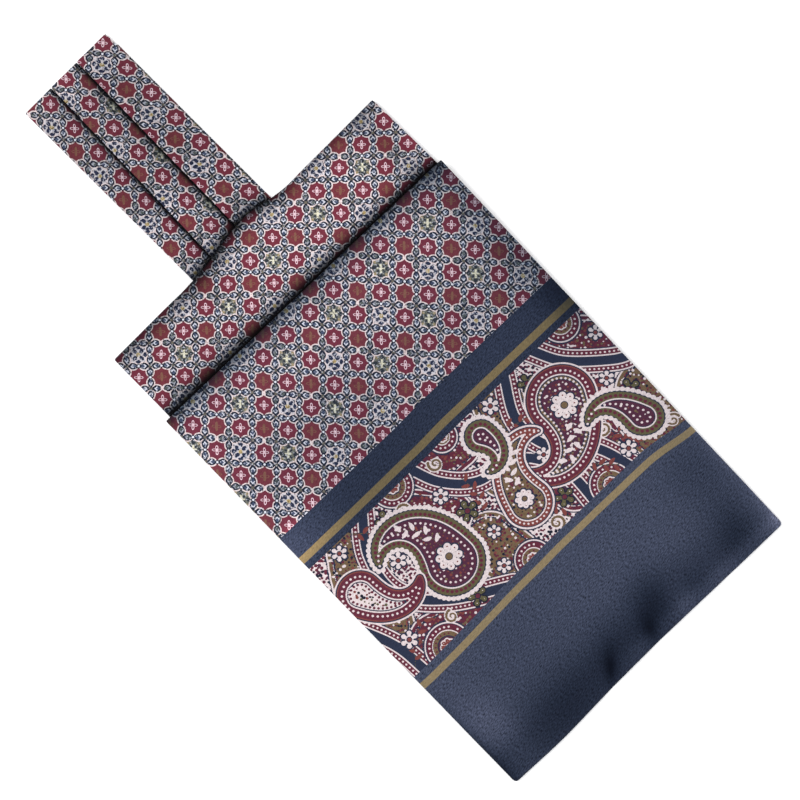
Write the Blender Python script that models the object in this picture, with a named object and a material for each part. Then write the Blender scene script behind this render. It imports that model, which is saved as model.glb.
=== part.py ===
# A printed silk day cravat, folded flat. The pleated neckband runs in under the rear blade,
# and the front blade lies over both. Along the cravat, u counts from the neckband's folded
# end towards the hem; across it, x is positive towards the right edge. Y is minus u.

import math
from collections import namedtuple

import bmesh
import bpy
from mathutils import Matrix, Vector

MM = 0.001

# Cloth, and the levels that the folded plies lie at
PLY = 1.0 * MM
GAP = 0.3 * MM
LEVEL = PLY + GAP
HEM_THICKNESS = 2.2 * MM
EDGE_SHARES = (0.0, 0.15, 0.5)
FOLD_STEPS = 6
TOP_ROW = len(EDGE_SHARES) + FOLD_STEPS

# Neckband: knife pleats that all face left, each lapping over the one beside it
BAND_ROOT = 106.0 * MM
BAND_RETURN_END = 6.0 * MM
PLEAT_TUCK = 3.0 * MM
TUCK_START = 3.0 * MM
TUCK_END = 84.0 * MM
LAP_CLEAR = PLEAT_TUCK + 2 * GAP
LAP_SLOPE = 4.5 * MM
LAP_SHARES = (0.0, 0.35, 0.65, 1.0)
BAND_LOFT = 0.6 * MM
BAND_LOFT_LENGTH = 12.0 * MM
BAND_ROWS = 12
UNDER_HALF_LEFT = -23.4 * MM
UNDER_HALF_RIGHT = 24.7 * MM
UNDER_HALF_START = 6.4 * MM
UNDER_HALF_ROWS = 4

# Rear blade: a straight top fold that bulges where it rides over the neckband
REAR_FOLD = 101.2 * MM
REAR_TAIL = 152.0 * MM
Side = namedtuple("Side", "fold tail")
REAR_LEFT = Side(-72.3 * MM, -72.9 * MM)
REAR_RIGHT = Side(84.3 * MM, 85.0 * MM)
REAR_RETURN = 5.0 * MM
LIP_BULGE = 4.0 * MM
LIP_CENTRE = 9.0 * MM
LIP_SPREAD_LEFT = 14.0 * MM
LIP_SPREAD_RIGHT = 11.0 * MM
LIP_HALF_WIDTH = 25.6 * MM
LIP_SHOULDER = 6.5 * MM
LIP_LENGTH = 16.0 * MM
REAR_ROWS = 6
REAR_COLUMNS = 24

# Front blade: its four corners as it lies, and the height of its top along its length
Corner = namedtuple("Corner", "u x")
FRONT_FOLD_LEFT = Corner(135.3 * MM, -74.8 * MM)
FRONT_FOLD_RIGHT = Corner(139.4 * MM, 86.5 * MM)
FRONT_HEM_LEFT = Corner(350.1 * MM, -78.3 * MM)
FRONT_HEM_RIGHT = Corner(352.8 * MM, 79.9 * MM)
FRONT_LENGTH = 214.1 * MM
FRONT_RETURN = 14.0 * MM
FRONT_EDGE_DROOP = 1.2 * MM
FRONT_EDGE_ROLL = 8.0 * MM
FRONT_EDGE_FLAT = 171.0 * MM
FRONT_BOW_START = 128.0 * MM
FRONT_ROWS = 11
FRONT_COLUMNS = 30
HEM_START = 30.0 * MM
HEM_ROWS_START = 36.0 * MM
HEM_ROWS = 7
HEM_FULL = 14.0 * MM
HEM_CORNER = 2.4 * MM
TopHeight = namedtuple("TopHeight", "along height")
FRONT_TOP = (
    TopHeight(16 * MM, 6.2 * MM),
    TopHeight(60 * MM, 5.4 * MM),
    TopHeight(130 * MM, 4.5 * MM),
    TopHeight(180 * MM, 3.5 * MM),
    TopHeight(214 * MM, HEM_THICKNESS),
)

# Hem: where its edge bows in or out, and the puckers that run up from it
HemBow = namedtuple("HemBow", "share depth spread")
HEM_BOWS = (
    HemBow(0.55, 1.5 * MM, 0.16),
    HemBow(0.17, -0.7 * MM, 0.09),
)
Pucker = namedtuple("Pucker", "share lean length depth spread")
PUCKERS = (
    Pucker(0.365, 30.0, 15 * MM, 1.0 * MM, 3.4 * MM),
    Pucker(0.550, 17.0, 14 * MM, 0.9 * MM, 3.6 * MM),
    Pucker(0.800, 10.0, 12 * MM, 0.7 * MM, 4.4 * MM),
)

# Folded layers under the blades
LAYERS_START = 109.5 * MM
LAYERS_STEP = 153.5 * MM
LAYERS_RISEN = 158.5 * MM
LAYERS_END = 318.0 * MM
LAYERS_LEFT = Side(-70.4 * MM, -75.6 * MM)
LAYERS_RIGHT = Side(82.2 * MM, 79.0 * MM)
LAYERS_CLEAR = 0.45 * MM
LAYERS_CORNER = 7.0 * MM
LAYER_COUNT = 3
LAYER_GROOVE = 0.45 * MM
LAYER_BULGE_SHARES = (0.85, 0.15)
LAYERS_LEAST = 0.9 * MM
LAYERS_COLUMNS = 12
LAYERS_REAR_ROWS = 4
LAYERS_FRONT_ROWS = 10
CORNER_SHARES = (0.0, 0.13, 0.5, 1.0)

# Finish of each piece: colour (linear), roughness
Finish = namedtuple("Finish", "red green blue roughness")
PRINTED_SILK = Finish(0.105, 0.062, 0.078, 0.42)
PRINTED_SILK_SHADED = Finish(0.075, 0.048, 0.060, 0.45)
BORDER_SILK = Finish(0.040, 0.045, 0.075, 0.38)
UNDERSIDE_SILK = Finish(0.050, 0.045, 0.060, 0.50)


def mix(first, second, share):
    return first + (second - first) * share


def ramp(value, start, end):
    """0 before start, 1 after end, and a smooth climb between them."""
    share = min(max((value - start) / (end - start), 0.0), 1.0)
    return share * share * (3 - 2 * share)


def bell(distance, spread):
    return math.exp(-0.5 * (distance / spread) ** 2)


def level_middle(level):
    return level * LEVEL + PLY / 2


def stops(length, inner, thickness):
    """Distances along a length, close together at both ends so that its edges are round."""
    near = [share * thickness for share in EDGE_SHARES]
    first, last = near[-1], length - near[-1]
    between = [mix(first, last, k / (inner + 1)) for k in range(1, inner + 1)]
    return near + between + [length - share for share in reversed(near)]


def fullness(index, count):
    """The share of its thickness that a cloth has at this row, counted in from its edge."""
    step = min(index, count - 1 - index)
    if step >= len(EDGE_SHARES):
        return 1.0
    inward = 1 - 2 * EDGE_SHARES[step]
    return math.sqrt(1 - inward * inward)


def folded_path(fold, low, high, return_length, along_top):
    """(u, z) along a ply that comes back underneath, turns round its fold and runs on top."""
    radius = (high - low) / 2
    turn = fold + PLY / 2 + radius
    back = [share * PLY for share in EDGE_SHARES]
    path = [(turn + return_length - distance, low) for distance in back]
    path.append((turn, low))
    for step in range(1, FOLD_STEPS):
        angle = math.pi * step / FOLD_STEPS
        path.append((turn - radius * math.sin(angle), (low + high) / 2 - radius * math.cos(angle)))
    return path + [(turn + stop, high) for stop in along_top]


def fold_turn(low, high):
    """How far a folded ply's round end reaches back from where the ply lies flat."""
    return (high - low) / 2 + PLY / 2


def upper_stops(length, inner):
    """Distances from a fold's turn to the far end, even, then close together at that end."""
    near = [share * PLY for share in EDGE_SHARES]
    last = length - near[-1]
    even = [last * k / (inner + 1) for k in range(inner + 1)]
    return even + [length - share for share in reversed(near)]


def corner_inset(from_end, radius):
    """How far a rounded corner draws a side in, at a distance from the end."""
    if from_end >= radius:
        return 0.0
    return radius - math.sqrt(radius * radius - (radius - from_end) ** 2)


def new_object(name, mesh_data, finish):
    """An object with its own material, shaded smooth, from a bmesh."""
    mesh = bpy.data.meshes.new(name)
    mesh_data.to_mesh(mesh)
    mesh_data.free()
    mesh.shade_smooth()
    material = bpy.data.materials.new(name)
    material.use_nodes = True
    shader = material.node_tree.nodes["Principled BSDF"]
    shader.inputs["Base Color"].default_value = (finish.red, finish.green, finish.blue, 1)
    shader.inputs["Roughness"].default_value = finish.roughness
    shader.inputs["Metallic"].default_value = 0.0
    mesh.materials.append(material)
    made = bpy.data.objects.new(name, mesh)
    bpy.context.scene.collection.objects.link(made)
    return made


def surface_normal(grid, row, column):
    """The direction that a grid's outer side faces, from the points beside this one."""
    rows, columns = len(grid), len(grid[0])
    along = grid[min(row + 1, rows - 1)][column] - grid[max(row - 1, 0)][column]
    across = grid[row][min(column + 1, columns - 1)] - grid[row][max(column - 1, 0)]
    return along.cross(across).normalized()


def cloth(name, middle, thickness, finish):
    """A closed wall of cloth round a grid of middle points, with rounded edges all round."""
    rows, columns = len(middle), len(middle[0])
    mesh_data = bmesh.new()
    outer, inner = [], []
    for row in range(rows):
        outer.append([])
        inner.append([])
        for column in range(columns):
            full = min(fullness(row, rows), fullness(column, columns))
            half = surface_normal(middle, row, column) * thickness[row][column] / 2 * full
            point = middle[row][column]
            outer[row].append(mesh_data.verts.new(resting(point + half)))
            shared = outer[row][column]
            inner[row].append(shared if full == 0 else mesh_data.verts.new(resting(point - half)))
    for row in range(rows - 1):
        for column in range(columns - 1):
            for side, turned in ((outer, False), (inner, True)):
                corners = [
                    side[row][column],
                    side[row + 1][column],
                    side[row + 1][column + 1],
                    side[row][column + 1],
                ]
                mesh_data.faces.new(reversed(corners) if turned else corners)
    return new_object(name, mesh_data, finish)


def resting(point):
    """The point, or the place on the floor above it where it would be lower."""
    return Vector((point.x, point.y, max(point.z, 0.0)))


def at(u, x, z):
    return Vector((x, -u, z))


def even_thickness(grid):
    return [[PLY] * len(grid[0]) for _ in grid]


# Neckband


Pleat = namedtuple("Pleat", "name left_end left_root right_end right_root laps tucks columns")
PLEATS = (
    Pleat("neckband_right_pleat", 6.4 * MM, 4.9 * MM, 24.1 * MM, 23.6 * MM, True, False, 4),
    Pleat("neckband_centre_pleat", -9.1 * MM, -11.8 * MM, 6.4 * MM, 4.9 * MM, True, True, 5),
    Pleat("neckband_left_pleat", -24.1 * MM, -23.7 * MM, -9.1 * MM, -11.8 * MM, False, True, 3),
)


def pleat_sides(pleat, u, on_top):
    """A pleat's left and right edges at u; its right margin is tucked under the next pleat."""
    share = u / REAR_FOLD
    left = mix(pleat.left_end, pleat.left_root, share)
    right = mix(pleat.right_end, pleat.right_root, share)
    if pleat.tucks:
        tucked = ramp(u, TUCK_START, 2 * TUCK_START)
        tucked *= 1 - ramp(u, TUCK_END, TUCK_END + PLEAT_TUCK)
        right += mix(-GAP, PLEAT_TUCK, tucked if on_top else 0.0)
    return left, right


def pleat_height(pleat, u, inward):
    """Middle of a pleat's upper ply; it stands a level higher over its neighbour's margin."""
    height = level_middle(1)
    if pleat.laps:
        flattened = ramp(u, TUCK_END + PLEAT_TUCK, TUCK_END + 4 * PLEAT_TUCK)
        height += LEVEL * (1 - ramp(inward, LAP_CLEAR, LAP_CLEAR + LAP_SLOPE)) * (1 - flattened)
    return height


def band_loft(u):
    """The band is a little higher between its end and its root."""
    return BAND_LOFT * ramp(u, 0.0, BAND_LOFT_LENGTH) * (1 - ramp(u, TUCK_END, REAR_FOLD))


def pleat_stops(pleat, length):
    """Distances across a pleat; one that laps has points where it comes down from its lap."""
    if not pleat.laps:
        return stops(length, pleat.columns, PLY)
    near = [share * PLY for share in EDGE_SHARES]
    slope = [LAP_CLEAR + LAP_SLOPE * share for share in LAP_SHARES]
    flat = [mix(slope[-1], length - near[-1], k / pleat.columns) for k in range(1, pleat.columns)]
    return near + slope + flat + [length - share for share in reversed(near)]


def make_pleat(pleat):
    end_left, end_right = pleat_sides(pleat, 0.0, False)
    columns = []
    for column, end_inward in enumerate(pleat_stops(pleat, end_right - end_left)):
        low, high = level_middle(0), pleat_height(pleat, 0.0, end_inward)
        turn = fold_turn(low, high)
        band = upper_stops(BAND_ROOT - turn, BAND_ROWS)
        points = []
        for row, (u, z) in enumerate(folded_path(0.0, low, high, BAND_RETURN_END - turn, band)):
            on_top = row >= TOP_ROW
            left, right = pleat_sides(pleat, u, on_top)
            inward = pleat_stops(pleat, right - left)[column]
            if on_top:
                z = pleat_height(pleat, u, inward) + band_loft(u)
            points.append(at(u, left + inward, z))
        columns.append(points)
    middle = [list(row) for row in zip(*columns)]
    return cloth(pleat.name, middle, even_thickness(middle), PRINTED_SILK)


def make_under_half():
    """The band's other half, flat on the floor under the pleats."""
    along = stops(BAND_ROOT - UNDER_HALF_START, UNDER_HALF_ROWS, PLY)
    across = stops(UNDER_HALF_RIGHT - UNDER_HALF_LEFT, UNDER_HALF_ROWS, PLY)
    middle = [
        [at(UNDER_HALF_START + u, UNDER_HALF_LEFT + x, PLY / 2) for x in across] for u in along
    ]
    return cloth("neckband_under_half", middle, even_thickness(middle), PRINTED_SILK_SHADED)


# Rear blade


def lip_share(x):
    """1 over the neckband and 0 at the shoulders."""
    return 1 - ramp(abs(x), LIP_HALF_WIDTH, LIP_HALF_WIDTH + LIP_SHOULDER)


def rear_fold_line(x):
    spread = LIP_SPREAD_LEFT if x < LIP_CENTRE else LIP_SPREAD_RIGHT
    return REAR_FOLD - LIP_BULGE * bell(x - LIP_CENTRE, spread)


def rear_height(u, x):
    """Middle of the rear blade's upper ply: level 2, and level 3 on the lip."""
    raised = lip_share(x) * (1 - ramp(u, REAR_FOLD, REAR_FOLD + LIP_LENGTH))
    return level_middle(2) + LEVEL * raised


def make_rear_blade():
    fold_width = REAR_RIGHT.fold - REAR_LEFT.fold
    columns = []
    for stop in stops(fold_width, REAR_COLUMNS, PLY):
        share = stop / fold_width
        fold_x = REAR_LEFT.fold + stop
        tail_x = mix(REAR_LEFT.tail, REAR_RIGHT.tail, share)
        fold = rear_fold_line(fold_x)
        low = mix(level_middle(0), level_middle(2), lip_share(fold_x))
        high = rear_height(fold, fold_x)
        turn = fold + fold_turn(low, high)
        upper = upper_stops(REAR_TAIL - turn, REAR_ROWS)
        points = []
        for row, (u, z) in enumerate(folded_path(fold, low, high, REAR_RETURN, upper)):
            x = mix(fold_x, tail_x, (u - REAR_FOLD) / (REAR_TAIL - REAR_FOLD))
            points.append(at(u, x, rear_height(u, fold_x) if row >= TOP_ROW else z))
        columns.append(points)
    middle = [list(row) for row in zip(*columns)]
    return cloth("rear_blade", middle, even_thickness(middle), PRINTED_SILK)


# Front blade


def hem_length(share):
    """The blade's length at this share of its width, where the hem bows."""
    return FRONT_LENGTH - sum(bow.depth * bell(share - bow.share, bow.spread) for bow in HEM_BOWS)


def front_side(fold_corner, hem_corner, along):
    """(u, x) on a side of the front blade at a distance from the fold."""
    down = along / FRONT_LENGTH
    return mix(fold_corner.u, hem_corner.u, down), mix(fold_corner.x, hem_corner.x, down)


def front_place(along, share):
    """(u, x) of a point at a distance from the fold, at a share of the blade's width."""
    left_u, left_x = front_side(FRONT_FOLD_LEFT, FRONT_HEM_LEFT, along)
    right_u, right_x = front_side(FRONT_FOLD_RIGHT, FRONT_HEM_RIGHT, along)
    return mix(left_u, right_u, share), mix(left_x, right_x, share)


def front_width(along):
    return front_place(along, 1.0)[1] - front_place(along, 0.0)[1]


def pucker_depth(along, across, width):
    """How deep the hem's puckers are here; each leans, and fades up from the hem."""
    depth = 0.0
    for pucker in PUCKERS:
        up = FRONT_LENGTH - along
        line = pucker.share * width + up * math.tan(math.radians(pucker.lean))
        fade = 1 - ramp(up, pucker.length / 4, pucker.length)
        depth += pucker.depth * fade * bell(across - line, pucker.spread)
    return depth


def front_top(along, across, width):
    """Height of the blade's upper face: a table along it, rolled down at its sides."""
    height = FRONT_TOP[0].height
    for first, second in zip(FRONT_TOP, FRONT_TOP[1:]):
        height += (second.height - first.height) * ramp(along, first.along, second.along)
    from_side = min(across, width - across)
    roll = FRONT_EDGE_DROOP * (1 - min(from_side / FRONT_EDGE_ROLL, 1.0)) ** 2
    hangs = ramp(along, 0.0, FRONT_EDGE_ROLL) * (1 - ramp(along, FRONT_EDGE_FLAT, FRONT_LENGTH))
    return height - roll * hangs


def front_bottom(along, across, width):
    """Height of the blade's lower face: a ply lower, then down to the floor at the hem."""
    up = FRONT_LENGTH - along
    return (front_top(along, across, width) - PLY) * ramp(up, HEM_FULL, HEM_START)


def front_row_stops(turn):
    """Distances from the fold's turn: wide apart on the blade, close together at the hem."""
    end = FRONT_LENGTH - turn
    hem_start = end - HEM_ROWS_START
    near = [share * HEM_THICKNESS for share in EDGE_SHARES]
    blade = [hem_start * k / FRONT_ROWS for k in range(FRONT_ROWS)]
    hem = [mix(hem_start, end - near[-1], k / HEM_ROWS) for k in range(HEM_ROWS)]
    return blade + hem + [end - share for share in reversed(near)]


def make_front_blade():
    low, high = level_middle(3), level_middle(4)
    upper = front_row_stops(fold_turn(low, high))
    middle, thickness = [], []
    for row, (along, z) in enumerate(folded_path(0.0, low, high, FRONT_RETURN, upper)):
        on_top = row >= TOP_ROW
        width = front_width(along)
        inset = corner_inset(FRONT_LENGTH - along, HEM_CORNER) if on_top else 0.0
        middle.append([])
        thickness.append([])
        for stop in stops(width - 2 * inset, FRONT_COLUMNS, PLY):
            across = inset + stop
            share = across / width
            top, bottom = z + PLY / 2, z - PLY / 2
            if on_top:
                top = front_top(along, across, width) - pucker_depth(along, across, width)
                bottom = front_bottom(along, across, width)
            bow = mix(1.0, hem_length(share) / FRONT_LENGTH, ramp(along, FRONT_BOW_START, FRONT_LENGTH))
            u, x = front_place(along * bow, share)
            middle[row].append(at(u, x, (top + bottom) / 2))
            thickness[row].append(top - bottom)
    return cloth("front_blade", middle, thickness, BORDER_SILK)


# Folded layers


def layers_height(u, x):
    """Top of the hidden folds, a gap below whatever lies on them."""
    under_rear = rear_height(u, x) - PLY / 2
    along = u - FRONT_FOLD_LEFT.u
    left_x = front_place(along, 0.0)[1]
    width = front_width(along)
    along -= (FRONT_FOLD_RIGHT.u - FRONT_FOLD_LEFT.u) * (x - left_x) / width
    under_front = front_bottom(along, x - left_x, width)
    under = mix(under_rear, under_front, ramp(u, LAYERS_STEP, LAYERS_RISEN))
    return max(under - LAYERS_CLEAR, LAYERS_LEAST)


def layers_rows():
    """Distances along the folded layers, close together at the ends and at the step."""
    length = LAYERS_END - LAYERS_START
    corner = [LAYERS_CORNER * share for share in CORNER_SHARES]
    step, risen = LAYERS_STEP - LAYERS_START, LAYERS_RISEN - LAYERS_START
    rear = [mix(LAYERS_CORNER, step, k / LAYERS_REAR_ROWS) for k in range(1, LAYERS_REAR_ROWS)]
    end = length - LAYERS_CORNER
    front = [mix(risen, end, k / LAYERS_FRONT_ROWS) for k in range(1, LAYERS_FRONT_ROWS)]
    climb = [step, (step + risen) / 2, risen]
    return corner + rear + climb + front + [length - stop for stop in reversed(corner)]


def layers_places(stop):
    """(u, x) of each column of the folded layers at a distance along them."""
    length = LAYERS_END - LAYERS_START
    inset = corner_inset(min(stop, length - stop), LAYERS_CORNER)
    left = mix(LAYERS_LEFT.fold, LAYERS_LEFT.tail, stop / length) + inset
    right = mix(LAYERS_RIGHT.fold, LAYERS_RIGHT.tail, stop / length) - inset
    shares = [column / LAYERS_COLUMNS for column in range(LAYERS_COLUMNS + 1)]
    return [(LAYERS_START + stop, mix(left, right, share)) for share in shares]


def rim_of(grid):
    """The points round a grid, clockwise as seen from above."""
    last_row, last_column = len(grid) - 1, len(grid[0]) - 1
    far = [grid[0][column] for column in range(last_column)]
    right = [grid[row][last_column] for row in range(last_row)]
    near = [grid[last_row][column] for column in range(last_column, 0, -1)]
    left = [grid[row][0] for row in range(last_row, 0, -1)]
    return far + right + near + left


def side_ring(mesh_data, rim, level, outwards):
    """A ring of points round the folded layers, at a share of their height."""
    ring = []
    for index, vertex in enumerate(rim):
        tangent = rim[(index + 1) % len(rim)].co - rim[index - 1].co
        out = Vector((-tangent.y, tangent.x, 0)).normalized() * outwards
        point = vertex.co
        ring.append(mesh_data.verts.new((point.x + out.x, point.y + out.y, point.z * level)))
    return ring


def make_folded_layers():
    """One closed solid: a top that follows the blades, grooved sides and a flat underside."""
    mesh_data = bmesh.new()
    top, base = [], []
    for stop in layers_rows():
        places = layers_places(stop)
        top.append([mesh_data.verts.new(at(u, x, layers_height(u, x))) for u, x in places])
        base.append([mesh_data.verts.new(at(u, x, 0.0)) for u, x in places])
    for row in range(len(top) - 1):
        for column in range(LAYERS_COLUMNS):
            quad = [(row, column), (row + 1, column), (row + 1, column + 1), (row, column + 1)]
            mesh_data.faces.new([top[i][j] for i, j in quad])
            mesh_data.faces.new([base[i][j] for i, j in reversed(quad)])

    rim = rim_of(top)
    rings = [rim]
    for layer in reversed(range(LAYER_COUNT)):
        for share in LAYER_BULGE_SHARES:
            rings.append(side_ring(mesh_data, rim, (layer + share) / LAYER_COUNT, LAYER_GROOVE))
        if layer > 0:
            rings.append(side_ring(mesh_data, rim, layer / LAYER_COUNT, 0.0))
    rings.append(rim_of(base))
    for upper, lower in zip(rings, rings[1:]):
        for here in range(len(rim)):
            after = (here + 1) % len(rim)
            mesh_data.faces.new([upper[here], upper[after], lower[after], lower[here]])
    return new_object("folded_layers", mesh_data, UNDERSIDE_SILK)


def centre_on_origin(parts):
    """Moves the cravat so that the origin is under the middle of its outline."""
    points = [vertex.co for part in parts for vertex in part.data.vertices]
    middle_x = (min(p.x for p in points) + max(p.x for p in points)) / 2
    middle_y = (min(p.y for p in points) + max(p.y for p in points)) / 2
    for part in parts:
        part.data.transform(Matrix.Translation((-middle_x, -middle_y, 0.0)))


def main():
    for old in list(bpy.data.objects):
        bpy.data.objects.remove(old, do_unlink=True)
    parts = [make_pleat(pleat) for pleat in PLEATS]
    parts.append(make_under_half())
    parts.append(make_rear_blade())
    parts.append(make_front_blade())
    parts.append(make_folded_layers())
    centre_on_origin(parts)


main()
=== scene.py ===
import math

import bpy
import numpy as np
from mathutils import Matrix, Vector


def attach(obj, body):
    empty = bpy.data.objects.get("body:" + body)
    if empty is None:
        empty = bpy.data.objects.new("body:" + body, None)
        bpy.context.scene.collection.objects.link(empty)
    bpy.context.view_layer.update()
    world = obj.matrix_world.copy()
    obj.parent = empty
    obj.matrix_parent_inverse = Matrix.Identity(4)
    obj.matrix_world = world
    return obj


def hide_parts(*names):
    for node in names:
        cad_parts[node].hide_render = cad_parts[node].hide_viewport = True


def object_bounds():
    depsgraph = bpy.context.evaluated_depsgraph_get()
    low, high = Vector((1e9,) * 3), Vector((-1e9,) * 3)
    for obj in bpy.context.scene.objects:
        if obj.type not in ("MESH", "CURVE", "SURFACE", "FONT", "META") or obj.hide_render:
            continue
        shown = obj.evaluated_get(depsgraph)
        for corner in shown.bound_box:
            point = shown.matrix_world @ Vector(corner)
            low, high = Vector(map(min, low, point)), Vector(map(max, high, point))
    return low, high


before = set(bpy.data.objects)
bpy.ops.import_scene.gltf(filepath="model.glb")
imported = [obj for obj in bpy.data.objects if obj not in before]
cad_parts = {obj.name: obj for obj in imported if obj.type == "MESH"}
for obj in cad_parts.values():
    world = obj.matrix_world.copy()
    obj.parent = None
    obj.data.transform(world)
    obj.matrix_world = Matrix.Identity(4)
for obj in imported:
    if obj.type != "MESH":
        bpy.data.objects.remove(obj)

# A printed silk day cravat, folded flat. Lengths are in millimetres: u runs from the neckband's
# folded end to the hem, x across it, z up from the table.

cadBox = [list(corner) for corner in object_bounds()]

millimetre = 0.001
ply = 1.0                 # a ply of silk with the air in it
gap = 0.3
level = ply + gap
rightmostX = 86.5         # the front blade's fold reaches this far right of the band's middle
edgeShares = np.array([0.0, 0.05, 0.15, 0.3, 0.5])
middleShift = cadBox[1][0] / millimetre - rightmostX
bandEndY = cadBox[1][1] / millimetre


# Small helpers

# mix goes from one value to another; ramp rises smoothly from 0 to 1, fall comes down from 1
# to 0 and partly from 1 by a share; hump is a smooth rise and fall, and fade dies away

def mix(first, second, share):
    return first + (second - first) * share


def ramp(value, start, end):
    share = np.clip((value - start) / (end - start), 0.0, 1.0)
    return share * share * (3 - 2 * share)


def fall(value, start, end):
    return 1 - ramp(value, start, end)


def partly(value, start, end, most):
    return 1 - most * ramp(value, start, end)


def bell(distance, spread):
    return np.exp(-0.5 * (distance / spread) ** 2)


def hump(value, middle, spread):
    return bell(value - middle, spread)


def fade(distance, reach, sharpness=1.0):
    return np.exp(-(distance / reach) ** sharpness)


def shading(factors, places):
    # how light the silk is: each factor is 1 with its terms added, and a term is an amount
    # and what it is kept to, as a place, a shape over it and the shape's numbers
    shade = 1.0
    for terms in factors:
        factor = 1.0
        for amount, *limits in terms:
            for place, shape, *numbers in limits:
                amount = amount * shape(places[place], *numbers)
            factor = factor + amount
        shade = shade * factor
    return shade


def stacked(*values):
    return np.stack(np.broadcast_arrays(*values), -1)


def levelMiddle(number):
    return number * level + ply / 2


def waver(place, seed, longest):
    # a slow uneven wander, within about 1
    total = 0.0
    for turn in range(1, 5):
        total = total + np.sin(place * (2 * math.pi * turn / longest) + seed * turn * 2.399) / turn
    return total / 2.0


def stopsOver(length, inner, thick):
    # distances over each length, close together at both ends so that the edges come out round
    near = edgeShares * thick
    length = np.atleast_1d(length)[:, None]
    between = mix(near[-1], length - near[-1], np.arange(1, inner + 1)[None, :] / (inner + 1))
    start = np.repeat(near[None, :], len(length), 0)
    return np.hstack([start, between, length - near[::-1][None, :]])


def fullness(count):
    # the share of its thickness that the cloth has at each row, counted in from its edges
    full = np.ones(count)
    rounded = np.sqrt(1 - (1 - 2 * edgeShares) ** 2)
    full[:len(rounded)] = rounded
    full[-len(rounded):] = rounded[::-1]
    return full


def foldedPath(fold, low, high, returnLength, upper, returnRows, arcSteps):
    # u and z along a ply that comes back underneath, turns round its fold and runs on top, and
    # the first row on top
    radius = (high - low) / 2
    turn = fold + ply / 2 + radius
    back = np.concatenate([edgeShares * ply, np.linspace(ply / 2, returnLength, returnRows + 2)[1:]])
    angle = np.pi * np.arange(1, arcSteps) / arcSteps
    u = np.concatenate([turn + returnLength - back, turn - radius * np.sin(angle), turn + upper])
    z = np.concatenate([
        np.full(len(back), low),
        (low + high) / 2 - radius * np.cos(angle),
        np.full(len(upper), high),
    ])
    return u, z, len(back) + len(angle)


def alongCloth(u, z, topRow):
    # where each row lies along the cloth itself, so that the print runs on round the fold
    steps = np.hypot(np.diff(u, axis=0), np.diff(z, axis=0))
    run = np.concatenate([np.zeros((1, u.shape[1])), np.cumsum(steps, 0)])
    return run - run[topRow] + u[topRow]


def upperStops(length, inner):
    near = edgeShares * ply
    last = length - near[-1]
    return np.concatenate([np.linspace(0.0, last, inner + 2)[:-1], length - near[::-1]])


def toTable(u, x, z):
    return stacked(x + middleShift, bandEndY - u, z)


def clothNormals(grid):
    along = np.empty_like(grid)
    along[1:-1] = grid[2:] - grid[:-2]
    along[0], along[-1] = grid[1] - grid[0], grid[-1] - grid[-2]
    across = np.empty_like(grid)
    across[:, 1:-1] = grid[:, 2:] - grid[:, :-2]
    across[:, 0], across[:, -1] = grid[:, 1] - grid[:, 0], grid[:, -1] - grid[:, -2]
    normal = np.cross(along, across)
    return normal / np.maximum(np.linalg.norm(normal, axis=-1, keepdims=True), 1e-9)


def addObject(name, data):
    thing = bpy.data.objects.new(name, data)
    bpy.context.scene.collection.objects.link(thing)
    return thing


def newPiece(name, points, faces, materials, attributes, faceSlots=None):
    mesh = bpy.data.meshes.new(name)
    mesh.from_pydata((points * millimetre).tolist(), [], faces)
    if faceSlots:
        mesh.polygons.foreach_set("material_index", faceSlots)
    mesh.shade_smooth()
    for material in materials:
        mesh.materials.append(material)
    for label, values in attributes.items():
        values = np.asarray(values, np.float32).reshape(len(points), -1)
        if values.shape[1] == 1:
            mesh.attributes.new(label, "FLOAT", "POINT").data.foreach_set("value", values.ravel())
        else:
            values = np.hstack([values, np.zeros((len(points), 3 - values.shape[1]), np.float32)])
            made = mesh.attributes.new(label, "FLOAT_VECTOR", "POINT")
            made.data.foreach_set("vector", values.ravel())
    mesh.update()
    return addObject(name, mesh)


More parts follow.
